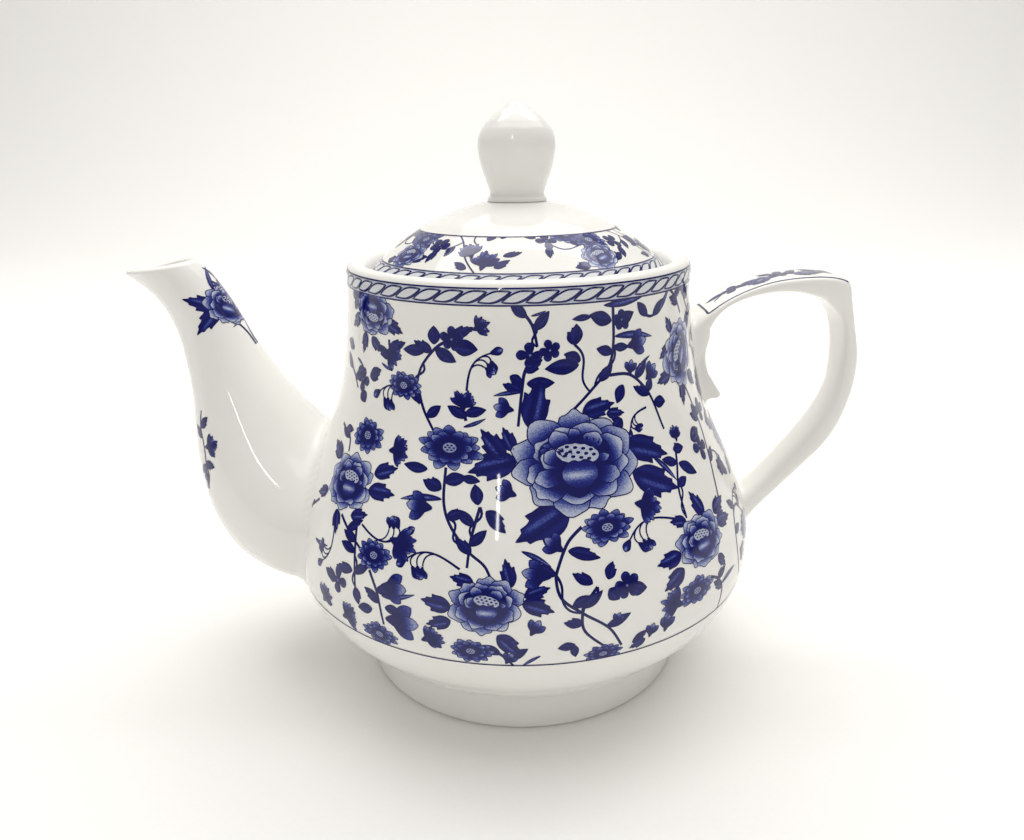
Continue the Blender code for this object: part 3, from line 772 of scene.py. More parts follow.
def daisy(draw, across, up):
    """An open flower of narrow petals, drawn a little flattened, as seen from one side."""
    sheet = Sheet()
    size = (across, up)
    for ring, (count, reach, broad) in enumerate(((13, 1.0, 0.40), (10, 0.78, 0.36))):
        for i in range(count):
            angle = 360 * (i + 0.5 * ring) / count + draw.uniform(-6, 6)
            length = reach * draw.uniform(0.84, 1.06)
            outline = turned_outline(petal_outline(length, broad, 0.8, 0.0), angle)
            tone = shaded((0, 0), length, draw.uniform(0.28, 0.5), 0.55, 0.95, scale=size)
            sheet.fill(outline * size, tone, ring * 2 + i % 2, rings=3)
            sheet.line(outline * size, 0.2, 1.0, ring * 2 + i % 2 + LINE_ABOVE, closed=True)
    turn = 2 * np.pi * np.arange(16) / 16
    eye = np.column_stack([np.cos(turn), np.sin(turn)])
    sheet.fill(eye * (0.36 * across, 0.36 * up), 1.0, 4.6, rings=2)
    sheet.fill(eye * (0.20 * across, 0.22 * up), 0.3, 5.2, rings=1)
    for i in range(7):
        spot = 0.12 * np.array([math.cos(i * 1.05), math.sin(i * 1.05)]) * (i > 0)
        sheet.fill((eye[::2] * 0.042 + spot) * size, 1.0, 6.0, rings=1)
    return sheet


def side_daisy(draw, length):
    """The same flower from the side: a fan of petals on a small cup."""
    sheet = Sheet()
    count = 11
    for i in range(count):
        angle = 64 * (2 * i / (count - 1) - 1) + draw.uniform(-4, 4)
        reach = length * (0.76 - 0.14 * abs(angle) / 64) * draw.uniform(0.80, 1.10)
        outline = turned_outline(petal_outline(reach, length * 0.19, 1.0, 0.0), angle) + (0.0, length * 0.22)
        level = 1 + (i % 2) + (2 if abs(angle) < 40 else 0)
        sheet.fill(outline, shaded((0, length * 0.22), reach, draw.uniform(0.35, 0.8), 0.5, 0.95), level, rings=3)
        sheet.line(outline, 0.2, 1.0, level + LINE_ABOVE, closed=True)
    cup = petal_outline(length * 0.46, length * 0.32)
    sheet.fill(cup, 1.0, 5.5, rings=2)
    return sheet


def blossom(draw, size):
    """A small dark flower of four or five rounded petals."""
    sheet = Sheet()
    count = draw.choice((4, 5))
    for i in range(count):
        angle = 360 * i / count + draw.uniform(-8, 8)
        reach = size * draw.uniform(0.9, 1.1)
        outline = turned_outline(petal_outline(reach, size * 0.70, 0.6, 0.0), angle)
        sheet.fill(outline, shaded((0, 0), reach, 0.7, 0.6, 1.0), 1 + i % 2, rings=3)
        sheet.line(outline, 0.22, 1.0, 1 + i % 2 + LINE_ABOVE, closed=True)
    turn = 2 * np.pi * np.arange(10) / 10
    sheet.fill(np.column_stack([np.cos(turn), np.sin(turn)]) * size * 0.20, 1.0, 3.6, rings=1)
    sheet.fill(np.column_stack([np.cos(turn), np.sin(turn)]) * size * 0.10, 0.45, 4.2, rings=1)
    return sheet


def bell(length):
    """A half-open flower: a small cup with three pointed petals, the middle one pale."""
    sheet = Sheet()
    for angle, share, level, pale in ((36, 0.94, 1, 0.6), (-36, 0.94, 1, 0.6), (0, 1.0, 2, 0.3)):
        petal = petal_outline(length * share * 0.8, length * 0.38, 1.0)
        outline = turned_outline(petal, angle) + (0.0, length * 0.2)
        sheet.fill(outline, shaded((0, length * 0.2), length * 0.8, pale, 0.35, 0.9), level, rings=3)
        sheet.line(outline, 0.22, 1.0, level + LINE_ABOVE, closed=True)
    sheet.fill(petal_outline(length * 0.5, length * 0.40), 1.0, 3.4, rings=2)
    return sheet


def bud(length):
    """A closed bud with a paler tip."""
    sheet = Sheet()
    outline = mirrored_outline(POINTED_PETAL, POINTED_PETAL, length, length * 0.62, 2)

    def tone(x, y):
        return 1.0 - 0.6 * ease(y / length, 0.35, 0.75) * np.exp(-((x / length / 0.16) ** 2))

    sheet.outlined(outline, tone, 1, 0.24, rings=3)
    return sheet


def leaf(draw, length, width, notched=0):
    """A leaf with a soft light along one side of its midrib, darker at its edges."""
    sheet = Sheet()
    side = draw.choice((-1, 1))
    outline = leaf_outline(length, width, notched)
    if side < 0:
        outline = outline[::-1] * (-1, 1)
    depth = 0.42 if notched >= 2 else 0.2

    def tone(x, y):
        glow = np.exp(-((((x * side / width) - 0.12) / 0.11) ** 2))
        glow = glow * ease(y / length, 0.02, 0.3) * (1 - ease(y / length, 0.6, 0.98))
        other = np.exp(-((((x * side / width) + 0.30) / 0.10) ** 2)) * 0.4
        return 0.98 - depth * (glow + other)

    sheet.fill(outline, tone, 1, rings=6 if notched >= 2 else 3, middle=(0.0, length * 0.47))
    sheet.line(outline, 0.26 if notched else 0.2, 1.0, 1 + LINE_ABOVE, closed=True)
    rib = np.column_stack([np.zeros(7), np.linspace(0.04, 0.9, 7) * length])
    sheet.line(rib, np.linspace(0.3, 0.12, 7) if notched >= 2 else 0.14, 1.0, 2.2)
    return bent(sheet, draw.uniform(-0.12, 0.12), length)


def thin_leaf(draw, length):
    """A long grass-like leaf, pale along its middle."""
    sheet = Sheet()
    width = min(1.9, length * 0.15)
    outline = leaf_outline(length, width)

    def tone(x, y):
        return 0.95 - 0.5 * np.exp(-((x / width / 0.18) ** 2)) * ease(y / length, 0.0, 0.4)

    sheet.outlined(outline, tone, 1, 0.2, rings=3, middle=(0.0, length * 0.5))
    return bent(sheet, draw.choice((-1, 1)) * draw.uniform(0.12, 0.22), length)


def spray(draw, length, side):
    """A bowed stem with buds and a little bell hanging from one side of it."""
    sheet = Sheet()
    t = np.linspace(0.0, 1.0, 18)
    stem = np.column_stack([side * -length * 0.26 * np.sin(np.pi * t * 0.8), t * length * 0.86])
    sheet.line(stem, np.linspace(0.62, 0.42, 18), 1.0, 0.3)
    for k, (at, reach) in enumerate(((0.46, 0.24), (0.64, 0.21), (0.82, 0.16), (1.0, 0.0))):
        start = stem[int(at * 17)]
        ahead = stem[min(17, int(at * 17) + 1)] - stem[max(0, int(at * 17) - 1)]
        ahead /= np.hypot(*ahead)
        aside = np.array([ahead[1], -ahead[0]]) * side
        t = np.linspace(0.0, 1.0, 8)[:, None]
        stalk = start + (ahead * 0.16 * np.sin(t * 1.9) + aside * reach * t**1.7) * length * (reach > 0)
        if reach:
            sheet.line(stalk, 0.42, 1.0, 0.2)
        size = max(2.3, min(3.4, length * 0.25))
        tip = bell(size) if k == 0 else bud(size)
        last = stalk[-1] - stalk[-2] if reach else stem[-1] - stem[-2]
        sheet.stamp(tip, *stalk[-1], turn=math.degrees(math.atan2(-last[0], last[1])), raised=0.6)
    return sheet


# ---------------------------------------------------------------- laying the print on


class Laid:
    """Print gathered on one surface: degrees round, millimetres up, ink and layer."""

    def __init__(self, surface):
        self.surface = surface
        self.parts = []

    def motif(self, sheet, degrees, up, turn=0.0, raised=0.0):
        c, s = math.cos(math.radians(turn)), math.sin(math.radians(turn))
        points = np.vstack(sheet.points) @ np.array([[c, s], [-s, c]])
        height = up + points[:, 1]
        round_by = degrees + np.degrees(points[:, 0] / self.surface.radius(height))
        _, ink, layer, faces = sheet.joined()
        self.parts.append((np.column_stack([round_by, height]), ink, layer + raised, faces))

    def reach(self, ends):
        """(length in millimetres, turn in degrees) from one place to another; a turn of 0 points up."""
        d0, u0, d1, u1 = ends[:4]
        across = math.radians(d1 - d0) * float(self.surface.radius((u0 + u1) / 2))
        return math.hypot(across, u1 - u0), math.degrees(math.atan2(-across, u1 - u0))

    def vine(self, path, width, raised, windings=0.0):
        """A stem along a path of (degrees, up) places, or one that winds round that path."""
        curve = smooth_curve(path, 12)
        radius = self.surface.radius(curve[:, 1].mean())
        flat = np.column_stack([np.radians(curve[:, 0]) * radius, curve[:, 1]])
        flat = resampled(flat, 0.7)
        along = np.linspace(0.0, 1.0, len(flat))
        if windings:
            way = np.gradient(flat, axis=0)
            way /= np.hypot(*way.T)[:, None]
            swing = 0.95 * np.sin(2 * np.pi * windings * along)
            flat = flat + np.column_stack([-way[:, 1], way[:, 0]]) * swing[:, None]
        sheet = Sheet()
        sheet.line(flat, width * (1.0 - 0.25 * along), 1.0, 0.0)
        points = np.vstack(sheet.points)
        _, ink, layer, faces = sheet.joined()
        places = np.column_stack([np.degrees(points[:, 0] / radius), points[:, 1]])
        self.parts.append((places, ink, layer + raised, faces))

    def flat_mesh(self, low, high):
        """(places, ink, layer, faces), trimmed to the sheet's lower and upper edges."""
        made = bmesh.new()
        ink = made.verts.layers.float.new("ink")
        layer = made.verts.layers.float.new("layer")
        for places, inks, layers, faces in self.parts:
            if places[:, 1].max() < low or places[:, 1].min() > high:
                continue
            verts = []
            for (d, u), i, l in zip(places, inks, layers):
                vert = made.verts.new((d, u, 0.0))
                vert[ink] = i
                vert[layer] = l
                verts.append(vert)
            for a, b, c in faces:
                made.faces.new((verts[a], verts[b], verts[c]))
        for edge, way in ((low, -1), (high, 1)):
            everything = list(made.verts) + list(made.edges) + list(made.faces)
            at, square = (0, edge, 0), (0, way, 0)
            bmesh.ops.bisect_plane(made, geom=everything, plane_co=at, plane_no=square, clear_outer=True)
        bmesh.ops.triangulate(made, faces=made.faces)
        made.verts.index_update()
        places = np.array([v.co[:2] for v in made.verts])
        inks = np.array([v[ink] for v in made.verts])
        layers = np.array([v[layer] for v in made.verts])
        faces = [[v.index for v in f.verts] for f in made.faces]
        made.free()
        return places, inks, layers, faces


def print_object(name, points, normals, ink, faces):
    obj = new_object(name, points, faces, normals)
    attribute = obj.data.attributes.new("ink", "FLOAT", "POINT")
    attribute.data.foreach_set("value", ink.astype(np.float32))
    obj.data.materials.append(material("cobalt_print"))
    return obj


def laid_object(name, laid, low, high, turn=0.0):
    places, ink, layer, faces = laid.flat_mesh(low, high)
    points, normals = laid.surface.place(places[:, 0] + turn, places[:, 1], PRINT_LIFT + layer * LAYER_STEP)
    return print_object(name, points, normals, ink, faces)


def body_print():
    """The body's whole sheet, between the bottom line and the rope band."""
    laid = Laid(body_surface())
    draw = random.Random(17)
    for k, path in enumerate(VINES):
        laid.vine(path, 0.88, 0.0)
        # Small leaves to either side of the stem
        curve = smooth_curve(path, 12)
        for share, side in ((0.36, 1 - k % 2 * 2), (0.66, k % 2 * 2 - 1)):
            degrees, up = curve[int(share * (len(curve) - 1))]
            small = leaf(draw, draw.uniform(4.4, 6.2), 2.6, k % 2)
            laid.motif(small, degrees, up, side * draw.uniform(45, 75), 0.6)
    for path, windings in TWINED:
        laid.vine(path, 0.72, 0.6, windings)
    for ends in THIN_LEAVES:
        length, turn = laid.reach(ends)
        laid.motif(thin_leaf(draw, length), ends[0], ends[1], turn, 1.0)
    for ends in LEAVES:
        length, turn = laid.reach(ends)
        laid.motif(leaf(draw, length, ends[4] * 1.18, draw.choice((0, 0, 1))), ends[0], ends[1], turn, 1.4)
    for ends in BROAD_LEAVES:
        length, turn = laid.reach(ends)
        laid.motif(leaf(draw, length, min(ends[4] * 1.1, length * 0.52), 2), ends[0], ends[1], turn, 2.2)
    for ends in SPRAYS:
        length, turn = laid.reach(ends)
        laid.motif(spray(draw, length, ends[4]), ends[0], ends[1], turn, 1.2)
    for ends in BELLS:
        length, turn = laid.reach(ends)
        laid.motif(bell(length), ends[0], ends[1], turn, 3.0)
    for degrees, up, turn, size in BLOSSOMS:
        laid.motif(blossom(draw, size * 0.88), degrees, up, turn, 3.0)
    for ends in SIDE_DAISIES:
        length, turn = laid.reach(ends)
        laid.motif(side_daisy(draw, length), ends[0], ends[1], turn, 4.0)
    for degrees, up, turn, across, high in DAISIES:
        laid.motif(daisy(draw, across, high), degrees, up, turn, 4.0)
    for degrees, up, turn, across, high in PEONIES:
        laid.motif(peony(draw, across, high, across > 12), degrees, up, turn, 5.0)
    return laid


# ---------------------------------------------------------------- materials


def linear(code):
    """An sRGB hex colour as linear RGBA."""
    channels = [int(code[k : k + 2], 16) / 255 for k in (1, 3, 5)]
    return (*[c / 12.92 if c <= 0.04045 else ((c + 0.055) / 1.055) ** 2.4 for c in channels], 1.0)


def node(tree, kind, settings=None, inputs=None, links=None, stops=()):
    """Adds a node, sets its properties, socket values and ramp stops, and links other nodes' outputs into it."""
    made = tree.nodes.new(kind)
    for name, value in (settings or {}).items():
        setattr(made, name, value)
    for name, value in (inputs or {}).items():
        made.inputs[name].default_value = value
    for name, source in (links or {}).items():
        tree.links.new(source, made.inputs[name])
    for k, (at, colour) in enumerate(stops):
        elements = made.color_ramp.elements
        element = elements[k] if k < 2 else elements.new(at)
        element.position = at
        element.color = colour
    return made


def blank_material(name):
    made = bpy.data.materials.new(name)
    made.use_nodes = True
    made.node_tree.nodes.clear()
    tree = made.node_tree
    shader = node(tree, "ShaderNodeBsdfPrincipled")
    out = node(tree, "ShaderNodeOutputMaterial", links={"Surface": shader.outputs["BSDF"]})
    out.location = (300, 0)
    return made, tree, shader


def glazed_porcelain():
    """Hard-paste porcelain under a fired clear glaze: a clean white with the faintest clouding, and sharp window-like
    highlights that waver where the glaze has pooled."""
    made, tree, shader = blank_material("glazed_porcelain")
    place = node(tree, "ShaderNodeTexCoord").outputs["Object"]
    cloud = node(tree, "ShaderNodeTexNoise", inputs={"Scale": 22.0, "Detail": 3.0}, links={"Vector": place})
    stops = ((0.35, linear("#F3F2EE")), (0.68, linear("#F8F7F4")))
    tones = node(tree, "ShaderNodeValToRGB", links={"Fac": cloud.outputs["Fac"]}, stops=stops)
    colour = tones.outputs["Color"]
    tree.links.new(colour, shader.inputs["Base Color"])
    # Glaze waves about 9 mm apart and a few micrometres deep
    waves = node(
        tree, "ShaderNodeTexNoise", inputs={"Scale": 110.0, "Detail": 1.0, "Roughness": 0.4}, links={"Vector": place},
    )
    bump = node(
        tree, "ShaderNodeBump", inputs={"Strength": 0.25, "Distance": 0.00004}, links={"Height": waves.outputs["Fac"]},
    )
    tree.links.new(bump.outputs["Normal"], shader.inputs["Normal"])
    shader.inputs["Roughness"].default_value = 0.05
    shader.inputs["IOR"].default_value = 1.48
    return made


def biscuit_porcelain():
    """The foot ring wiped free of glaze before firing: the same body, matt and very slightly warm, with a fine grain."""
    made, tree, shader = blank_material("biscuit_porcelain")
    place = node(tree, "ShaderNodeTexCoord").outputs["Object"]
    # Grit about 0.3 mm across, coarser than the real one so that it shows
    grit = node(tree, "ShaderNodeTexNoise", inputs={"Scale": 3300.0, "Detail": 2.0}, links={"Vector": place})
    stops = ((0.3, linear("#DAD5CA")), (0.7, linear("#E9E5DC")))
    tones = node(tree, "ShaderNodeValToRGB", links={"Fac": grit.outputs["Fac"]}, stops=stops)
    colour = tones.outputs["Color"]
    tree.links.new(colour, shader.inputs["Base Color"])
    bump = node(
        tree, "ShaderNodeBump", inputs={"Strength": 0.4, "Distance": 0.00005}, links={"Height": grit.outputs["Fac"]},
    )
    tree.links.new(bump.outputs["Normal"], shader.inputs["Normal"])
    shader.inputs["Roughness"].default_value = 0.62
    shader.inputs["IOR"].default_value = 1.5
    return made


def cobalt_print():
    """A cobalt transfer under the glaze: near-black blue where the engraver's dots close up, thinning to pale blue-grey
    at petal tips, with the dots' grain in the half tones."""
    made, tree, shader = blank_material("cobalt_print")
    place = node(tree, "ShaderNodeTexCoord").outputs["Object"]
    ink = node(tree, "ShaderNodeAttribute", {"attribute_name": "ink"}).outputs["Fac"]
    # Engraved dots are about 0.15 mm; they are drawn at about 0.35 mm so that they show
    dots = node(tree, "ShaderNodeTexNoise", inputs={"Scale": 2900.0, "Detail": 1.0}, links={"Vector": place})
    centred = node(tree, "ShaderNodeMath", {"operation": "SUBTRACT"}, {1: 0.5}, {0: dots.outputs["Fac"]})
    # The grain is strongest in the half tones and gone where the ink is solid or absent
    gone = node(tree, "ShaderNodeMath", {"operation": "SUBTRACT"}, {0: 1.0}, {1: ink})
    middle = node(tree, "ShaderNodeMath", {"operation": "MULTIPLY"}, {}, {0: ink, 1: gone.outputs[0]})
    amount = node(
        tree, "ShaderNodeMath", {"operation": "MULTIPLY"}, {}, {0: centred.outputs[0], 1: middle.outputs[0]},
    )
    grain = node(
        tree, "ShaderNodeMath", {"operation": "MULTIPLY_ADD"}, {1: 2.2}, {0: amount.outputs[0], 2: ink},
    )
    # Firing leaves slow differences in strength, centimetres across
    slow = node(tree, "ShaderNodeTexNoise", inputs={"Scale": 55.0, "Detail": 2.0}, links={"Vector": place})
    drift = node(
        tree, "ShaderNodeMath", {"operation": "MULTIPLY_ADD"}, {1: 0.10, 2: -0.05}, {0: slow.outputs["Fac"]},
    )
    total = node(tree, "ShaderNodeMath", {"operation": "ADD"}, {}, {0: grain.outputs[0], 1: drift.outputs[0]})
    stops = (
        (0.00, linear("#E6E7E8")), (0.14, linear("#BCC3D8")), (0.32, linear("#8590BE")),
        (0.54, linear("#414E9A")), (0.76, linear("#17207A")), (0.97, linear("#05095A")),
    )
    tones = node(tree, "ShaderNodeValToRGB", links={"Fac": total.outputs[0]}, stops=stops)
    tree.links.new(tones.outputs["Color"], shader.inputs["Base Color"])
    shader.inputs["Roughness"].default_value = 0.05
    shader.inputs["IOR"].default_value = 1.48
    return made


def paper_sweep():
    """Matt white background paper."""
    made, tree, shader = blank_material("paper_sweep")
    place = node(tree, "ShaderNodeTexCoord").outputs["Object"]
    fibre = node(tree, "ShaderNodeTexNoise", inputs={"Scale": 900.0, "Detail": 3.0}, links={"Vector": place})
    settings = bpy.context.scene.teapot_stage
    light = linear("#FFFFFF")
    low = tuple(c * settings.paper[k] * 0.985 for k, c in enumerate(light[:3])) + (1.0,)
    high = tuple(c * settings.paper[k] for k, c in enumerate(light[:3])) + (1.0,)
    stops = ((0.3, low), (0.7, high))
    tones = node(tree, "ShaderNodeValToRGB", links={"Fac": fibre.outputs["Fac"]}, stops=stops)
    tree.links.new(tones.outputs["Color"], shader.inputs["Base Color"])
    shader.inputs["Roughness"].default_value = 0.9
    return made


MATERIALS = {
    "glazed_porcelain": glazed_porcelain,
    "biscuit_porcelain": biscuit_porcelain,
    "cobalt_print": cobalt_print,
    "paper_sweep": paper_sweep,
}


def material(name):
    return bpy.data.materials.get(name) or MATERIALS[name]()


# ---------------------------------------------------------------- settings and operators


class TeapotLooks(bpy.types.PropertyGroup):
    body_steps: IntProperty(
        name="Body steps", description="Facets round the pot and the lid", default=224, min=32, max=512
    )
    knob_steps: IntProperty(
        name="Knob steps", description="Facets round the knob", default=96, min=16, max=256
    )
    spout_fillet: FloatProperty(
        name="Spout fillet", description="Slip fillet where the spout meets the pot", default=0.0034, unit="LENGTH"
    )
    handle_fillet: FloatProperty(
        name="Handle fillet", description="Slip fillet where the handle meets the pot", default=0.0022, unit="LENGTH"
    )
    body_links: IntProperty(
        name="Body links", description="Links in the rope band round the neck", default=54, min=12, max=120
    )
    lid_links: IntProperty(
        name="Lid links", description="Links in the rope band round the lid", default=48, min=12, max=120
    )


class TeapotStage(bpy.types.PropertyGroup):
    paper: FloatVectorProperty(
        name="Paper", description="Background paper's colour", default=(0.93, 0.925, 0.91), size=3, subtype="COLOR"
    )
    key_power: FloatProperty(name="Key power", description="Overhead soft light", default=12.5, unit="POWER")
    window_power: FloatProperty(
        name="Window power", description="Narrow bright light that glints in the glaze", default=1.1, unit="POWER"
    )
    world_strength: FloatProperty(
        name="Room light", description="Even light from the room", default=0.64, subtype="FACTOR"
    )


class TEAPOT_OT_pot(bpy.types.Operator):
    """Turn the glazed pot with its foot, seat, throat and strainer"""

    bl_idname = "teapot.pot"
    bl_label = "Pot"

    def execute(self, context):
        steps = context.scene.teapot_looks.body_steps
        obj = lathe("pot_body_glazed", pot_profile(), steps)
        rods = bmesh.new()
        rise = HOLE_PITCH * math.sqrt(3) / 2
        for row, count in enumerate(STRAINER_ROWS):
            z = STRAINER_HEIGHT + (row - (len(STRAINER_ROWS) - 1) / 2) * rise
            for i in range(count):
                y = (i - (count - 1) / 2) * HOLE_PITCH
                centre = Vector((AXIS_X - BODY_RADIUS * 0.85, y, z)) * MM
                place = Matrix.Translation(centre) @ Matrix.Rotation(math.pi / 2, 4, "Y")
                bmesh.ops.create_cone(
                    rods, cap_ends=True, segments=24, radius1=HOLE_RADIUS * MM, radius2=HOLE_RADIUS * MM,
                    depth=BODY_RADIUS * 0.42 * MM, matrix=place,
                )
        mesh = bpy.data.meshes.new("strainer_rods")
        rods.to_mesh(mesh)
        rods.free()
        cutter = bpy.data.objects.new("strainer_rods", mesh)
        context.scene.collection.objects.link(cutter)
        cut = obj.modifiers.new("strainer", "BOOLEAN")
        cut.operation = "DIFFERENCE"
        cut.solver = "EXACT"
        cut.object = cutter
        as_plain_mesh(obj)
        bpy.data.objects.remove(cutter)
        obj.data.set_sharp_from_angle(angle=math.radians(50))
        obj.data.materials.clear()
        obj.data.materials.append(material("glazed_porcelain"))
        obj.data.materials.append(material("biscuit_porcelain"))
        for face in obj.data.polygons:
            face.material_index = int(face.center.z < 0.7 * MM)
        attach(obj, "pot")
        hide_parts("pot_body")
        return {"FINISHED"}


class TEAPOT_OT_spout(bpy.types.Operator):
    """Loft the hollow spout, round its lip and flare it into the pot"""

    bl_idname = "teapot.spout"
    bl_label = "Spout"

    def execute(self, context):
        count = 80
        rows = smooth_curve(real_sections(SPOUT_SECTIONS), 20)
        outer, bore = [], []
        for ox, oz, ix, iz, half in rows:
            a, b = np.array([ox, oz]), np.array([ix, iz])
            step = (b - a) / np.hypot(*(b - a))
            outer.append(section_ring(a + step * INSET, b - step * INSET, half - INSET, 2.0, count))
            bore.append(section_ring(a + step * SPOUT_WALL, b - step * SPOUT_WALL, half - SPOUT_WALL, 2.0, count))
        # The lip starts a few rings down, where it is rounded over between the outside and the bore
        way = outer[0].mean(axis=0) - outer[5].mean(axis=0)
        rise = np.linalg.norm(way)
        outer, bore = outer[5:], bore[5:]
        lip = []
        for turn in np.linspace(0.0, np.pi, 13)[1:-1]:
            share = (1 - math.cos(turn)) / 2
            lip.append(outer[0] * (1 - share) + bore[0] * share + way * math.sin(turn) * min(1.0, 1.2 / rise))
        rings = outer[::-1] + lip + bore
        points = np.vstack(rings)
        ends = [tuple(range(count)), tuple(reversed(range(len(points) - count, len(points))))]
        obj = new_object("spout_glazed", points, loft_faces(len(rings), count) + ends)
        face_outwards(obj)
        fillet = context.scene.teapot_looks.spout_fillet / MM
        points = vertex_points(obj)
        normals = vertex_normals(obj)
        set_points(obj, filleted(points, normals, fillet, 1.2))
        face_outwards(obj)
        obj.data.materials.append(material("glazed_porcelain"))
        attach(obj, "pot")
        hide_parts("spout")
        return {"FINISHED"}


class TEAPOT_OT_handle(bpy.types.Operator):
    """Loft the strap handle, join its curled spur and flare both roots into the pot"""

    bl_idname = "teapot.handle"
    bl_label = "Handle"

    def execute(self, context):
        count = 48
        rings = []
        for ox, oz, ix, iz, half, square in smooth_curve(real_sections(HANDLE_SECTIONS), 14):
            a, b = np.array([ox, oz]), np.array([ix, iz])
            step = (b - a) / np.hypot(*(b - a))
            rings.append(section_ring(a + step * INSET, b - step * INSET, half - INSET, square, count))
        caps = [tuple(range(count)), tuple(reversed(range((len(rings) - 1) * count, len(rings) * count)))]
        obj = new_object("handle_glazed", np.vstack(rings), loft_faces(len(rings), count) + caps)
        face_outwards(obj)
        outline = smooth_curve([(AXIS_X + x * BODY_RADIUS, z * RIM_HEIGHT) for x, z in SPUR_OUTLINE], 6)
        middle = outline.mean(axis=0)
        plates = []
        for turn in np.linspace(-90, 90, 15):
            share = math.sin(math.radians(turn))
            inset = 1.8 * (1 - math.cos(math.radians(turn)))
            away = outline - middle
            far = np.hypot(*away.T)[:, None]
            ring = middle + away * (1 - (inset + INSET) / far)
            side = np.full(len(ring), share * (SPUR_HALF_WIDTH - INSET))
            plates.append(np.column_stack([ring[:, 0], side, ring[:, 1]]))
        n = len(outline)
        caps = [tuple(range(n)), tuple(reversed(range((len(plates) - 1) * n, len(plates) * n)))]
        spur = new_object("spur", np.vstack(plates), loft_faces(len(plates), n) + caps)
        face_outwards(spur)
        joined = bmesh.new()
        joined.from_mesh(obj.data)
        joined.from_mesh(spur.data)
        joined.to_mesh(obj.data)
        joined.free()
        bpy.data.objects.remove(spur)
        # One skin over strap and spur, with the soft inner corners that glaze leaves
        remesh = obj.modifiers.new("skin", "REMESH")
        remesh.mode = "VOXEL"
        remesh.voxel_size = 0.55 * MM
        remesh.use_smooth_shade = True
        relax = obj.modifiers.new("relax", "SMOOTH")
        relax.iterations = 16
        relax.factor = 0.5
        as_plain_mesh(obj)
        fillet = context.scene.teapot_looks.handle_fillet / MM
        set_points(obj, filleted(vertex_points(obj), vertex_normals(obj), fillet, 1.2))
        face_outwards(obj)
        obj.data.materials.append(material("glazed_porcelain"))
        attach(obj, "pot")
        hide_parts("handle")
        return {"FINISHED"}


class TEAPOT_OT_lid(bpy.types.Operator):
    """Turn the domed lid with its flange, and the knob on it"""

    bl_idname = "teapot.lid"
    bl_label = "Lid and knob"

    def execute(self, context):
        looks = context.scene.teapot_looks
        for name, profile, steps, node_name in (
            ("lid_glazed", lid_profile(), looks.body_steps, "lid"),
            ("knob_glazed", knob_profile(), looks.knob_steps, "knob"),
        ):
            obj = lathe(name, profile, steps)
            obj.data.set_sharp_from_angle(angle=math.radians(50))
            obj.data.materials.append(material("glazed_porcelain"))
            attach(obj, "lid")
            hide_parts(node_name)
        return {"FINISHED"}


class TEAPOT_OT_body_print(bpy.types.Operator):
    """Lay the floral sheet round the pot, once on each broad side"""

    bl_idname = "teapot.body_print"
    bl_label = "Body print"

    def execute(self, context):
        laid = body_print()
        top = laid.surface.height_of(PRINT_TOP)
        for name, turn in (("print_body_front", 0.0), ("print_body_back", 180.0)):
            obj = laid_object(name, laid, 0.0, top, turn)
            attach(obj, "pot")
        return {"FINISHED"}


def rope_link():
    """One link of the rope band on a strip: x in pitches, y from the band's lower line to its upper one."""
    sheet = Sheet()
    t = np.linspace(0.0, 1.0, 17)
    rise = 0.20 + 0.65 * np.sin(np.pi / 2 * np.clip(t / 0.66, 0, 1)) ** 0.9 - 0.03 * ease(t, 0.7, 1.0)
    upper = np.column_stack([-0.19 + 1.38 * t, rise])
    lower = np.array([1.0, 1.0]) - upper
    oval = np.vstack([lower[::-1], upper[::-1][1:-1]])
    sheet.fill(oval, 0.03, 1.0, rings=2, middle=(0.5, 0.5))
    n = len(oval)
    way = np.roll(oval, -1, axis=0) - np.roll(oval, 1, axis=0)
    # Widths are shares of the band's height, and a pitch is about 1.4 of those
    way[:, 0] *= 1.4
    way /= np.hypot(*way.T)[:, None]
    heavy = 0.105 + 0.06 * ease(way[:, 0], 0.2, 0.9) * ease(oval[:, 0], 0.2, 0.8)
    side = np.column_stack([-way[:, 1] / 1.4, way[:, 0]]) * (heavy / 2)[:, None]
    j = np.arange(n)
    k = (j + 1) % n
    sheet.add(np.vstack([oval + side, oval - side]), 1.0, 2.0, np.vstack([np.column_stack([j, n + j, n + k]), np.column_stack([j, n + k, k])]))
    points = np.vstack(sheet.points)
    # Each link's left end lies over its neighbour and its right end dips under the next
    layers = np.concatenate(sheet.layer) + 3.0 * (1.0 - points[:, 0])
    obj = new_object("rope_link", np.column_stack([points / MM, layers * LAYER_STEP]), np.vstack(sheet.faces))
    attribute = obj.data.attributes.new("ink", "FLOAT", "POINT")
    attribute.data.foreach_set("value", np.concatenate(sheet.ink).astype(np.float32))
    return obj


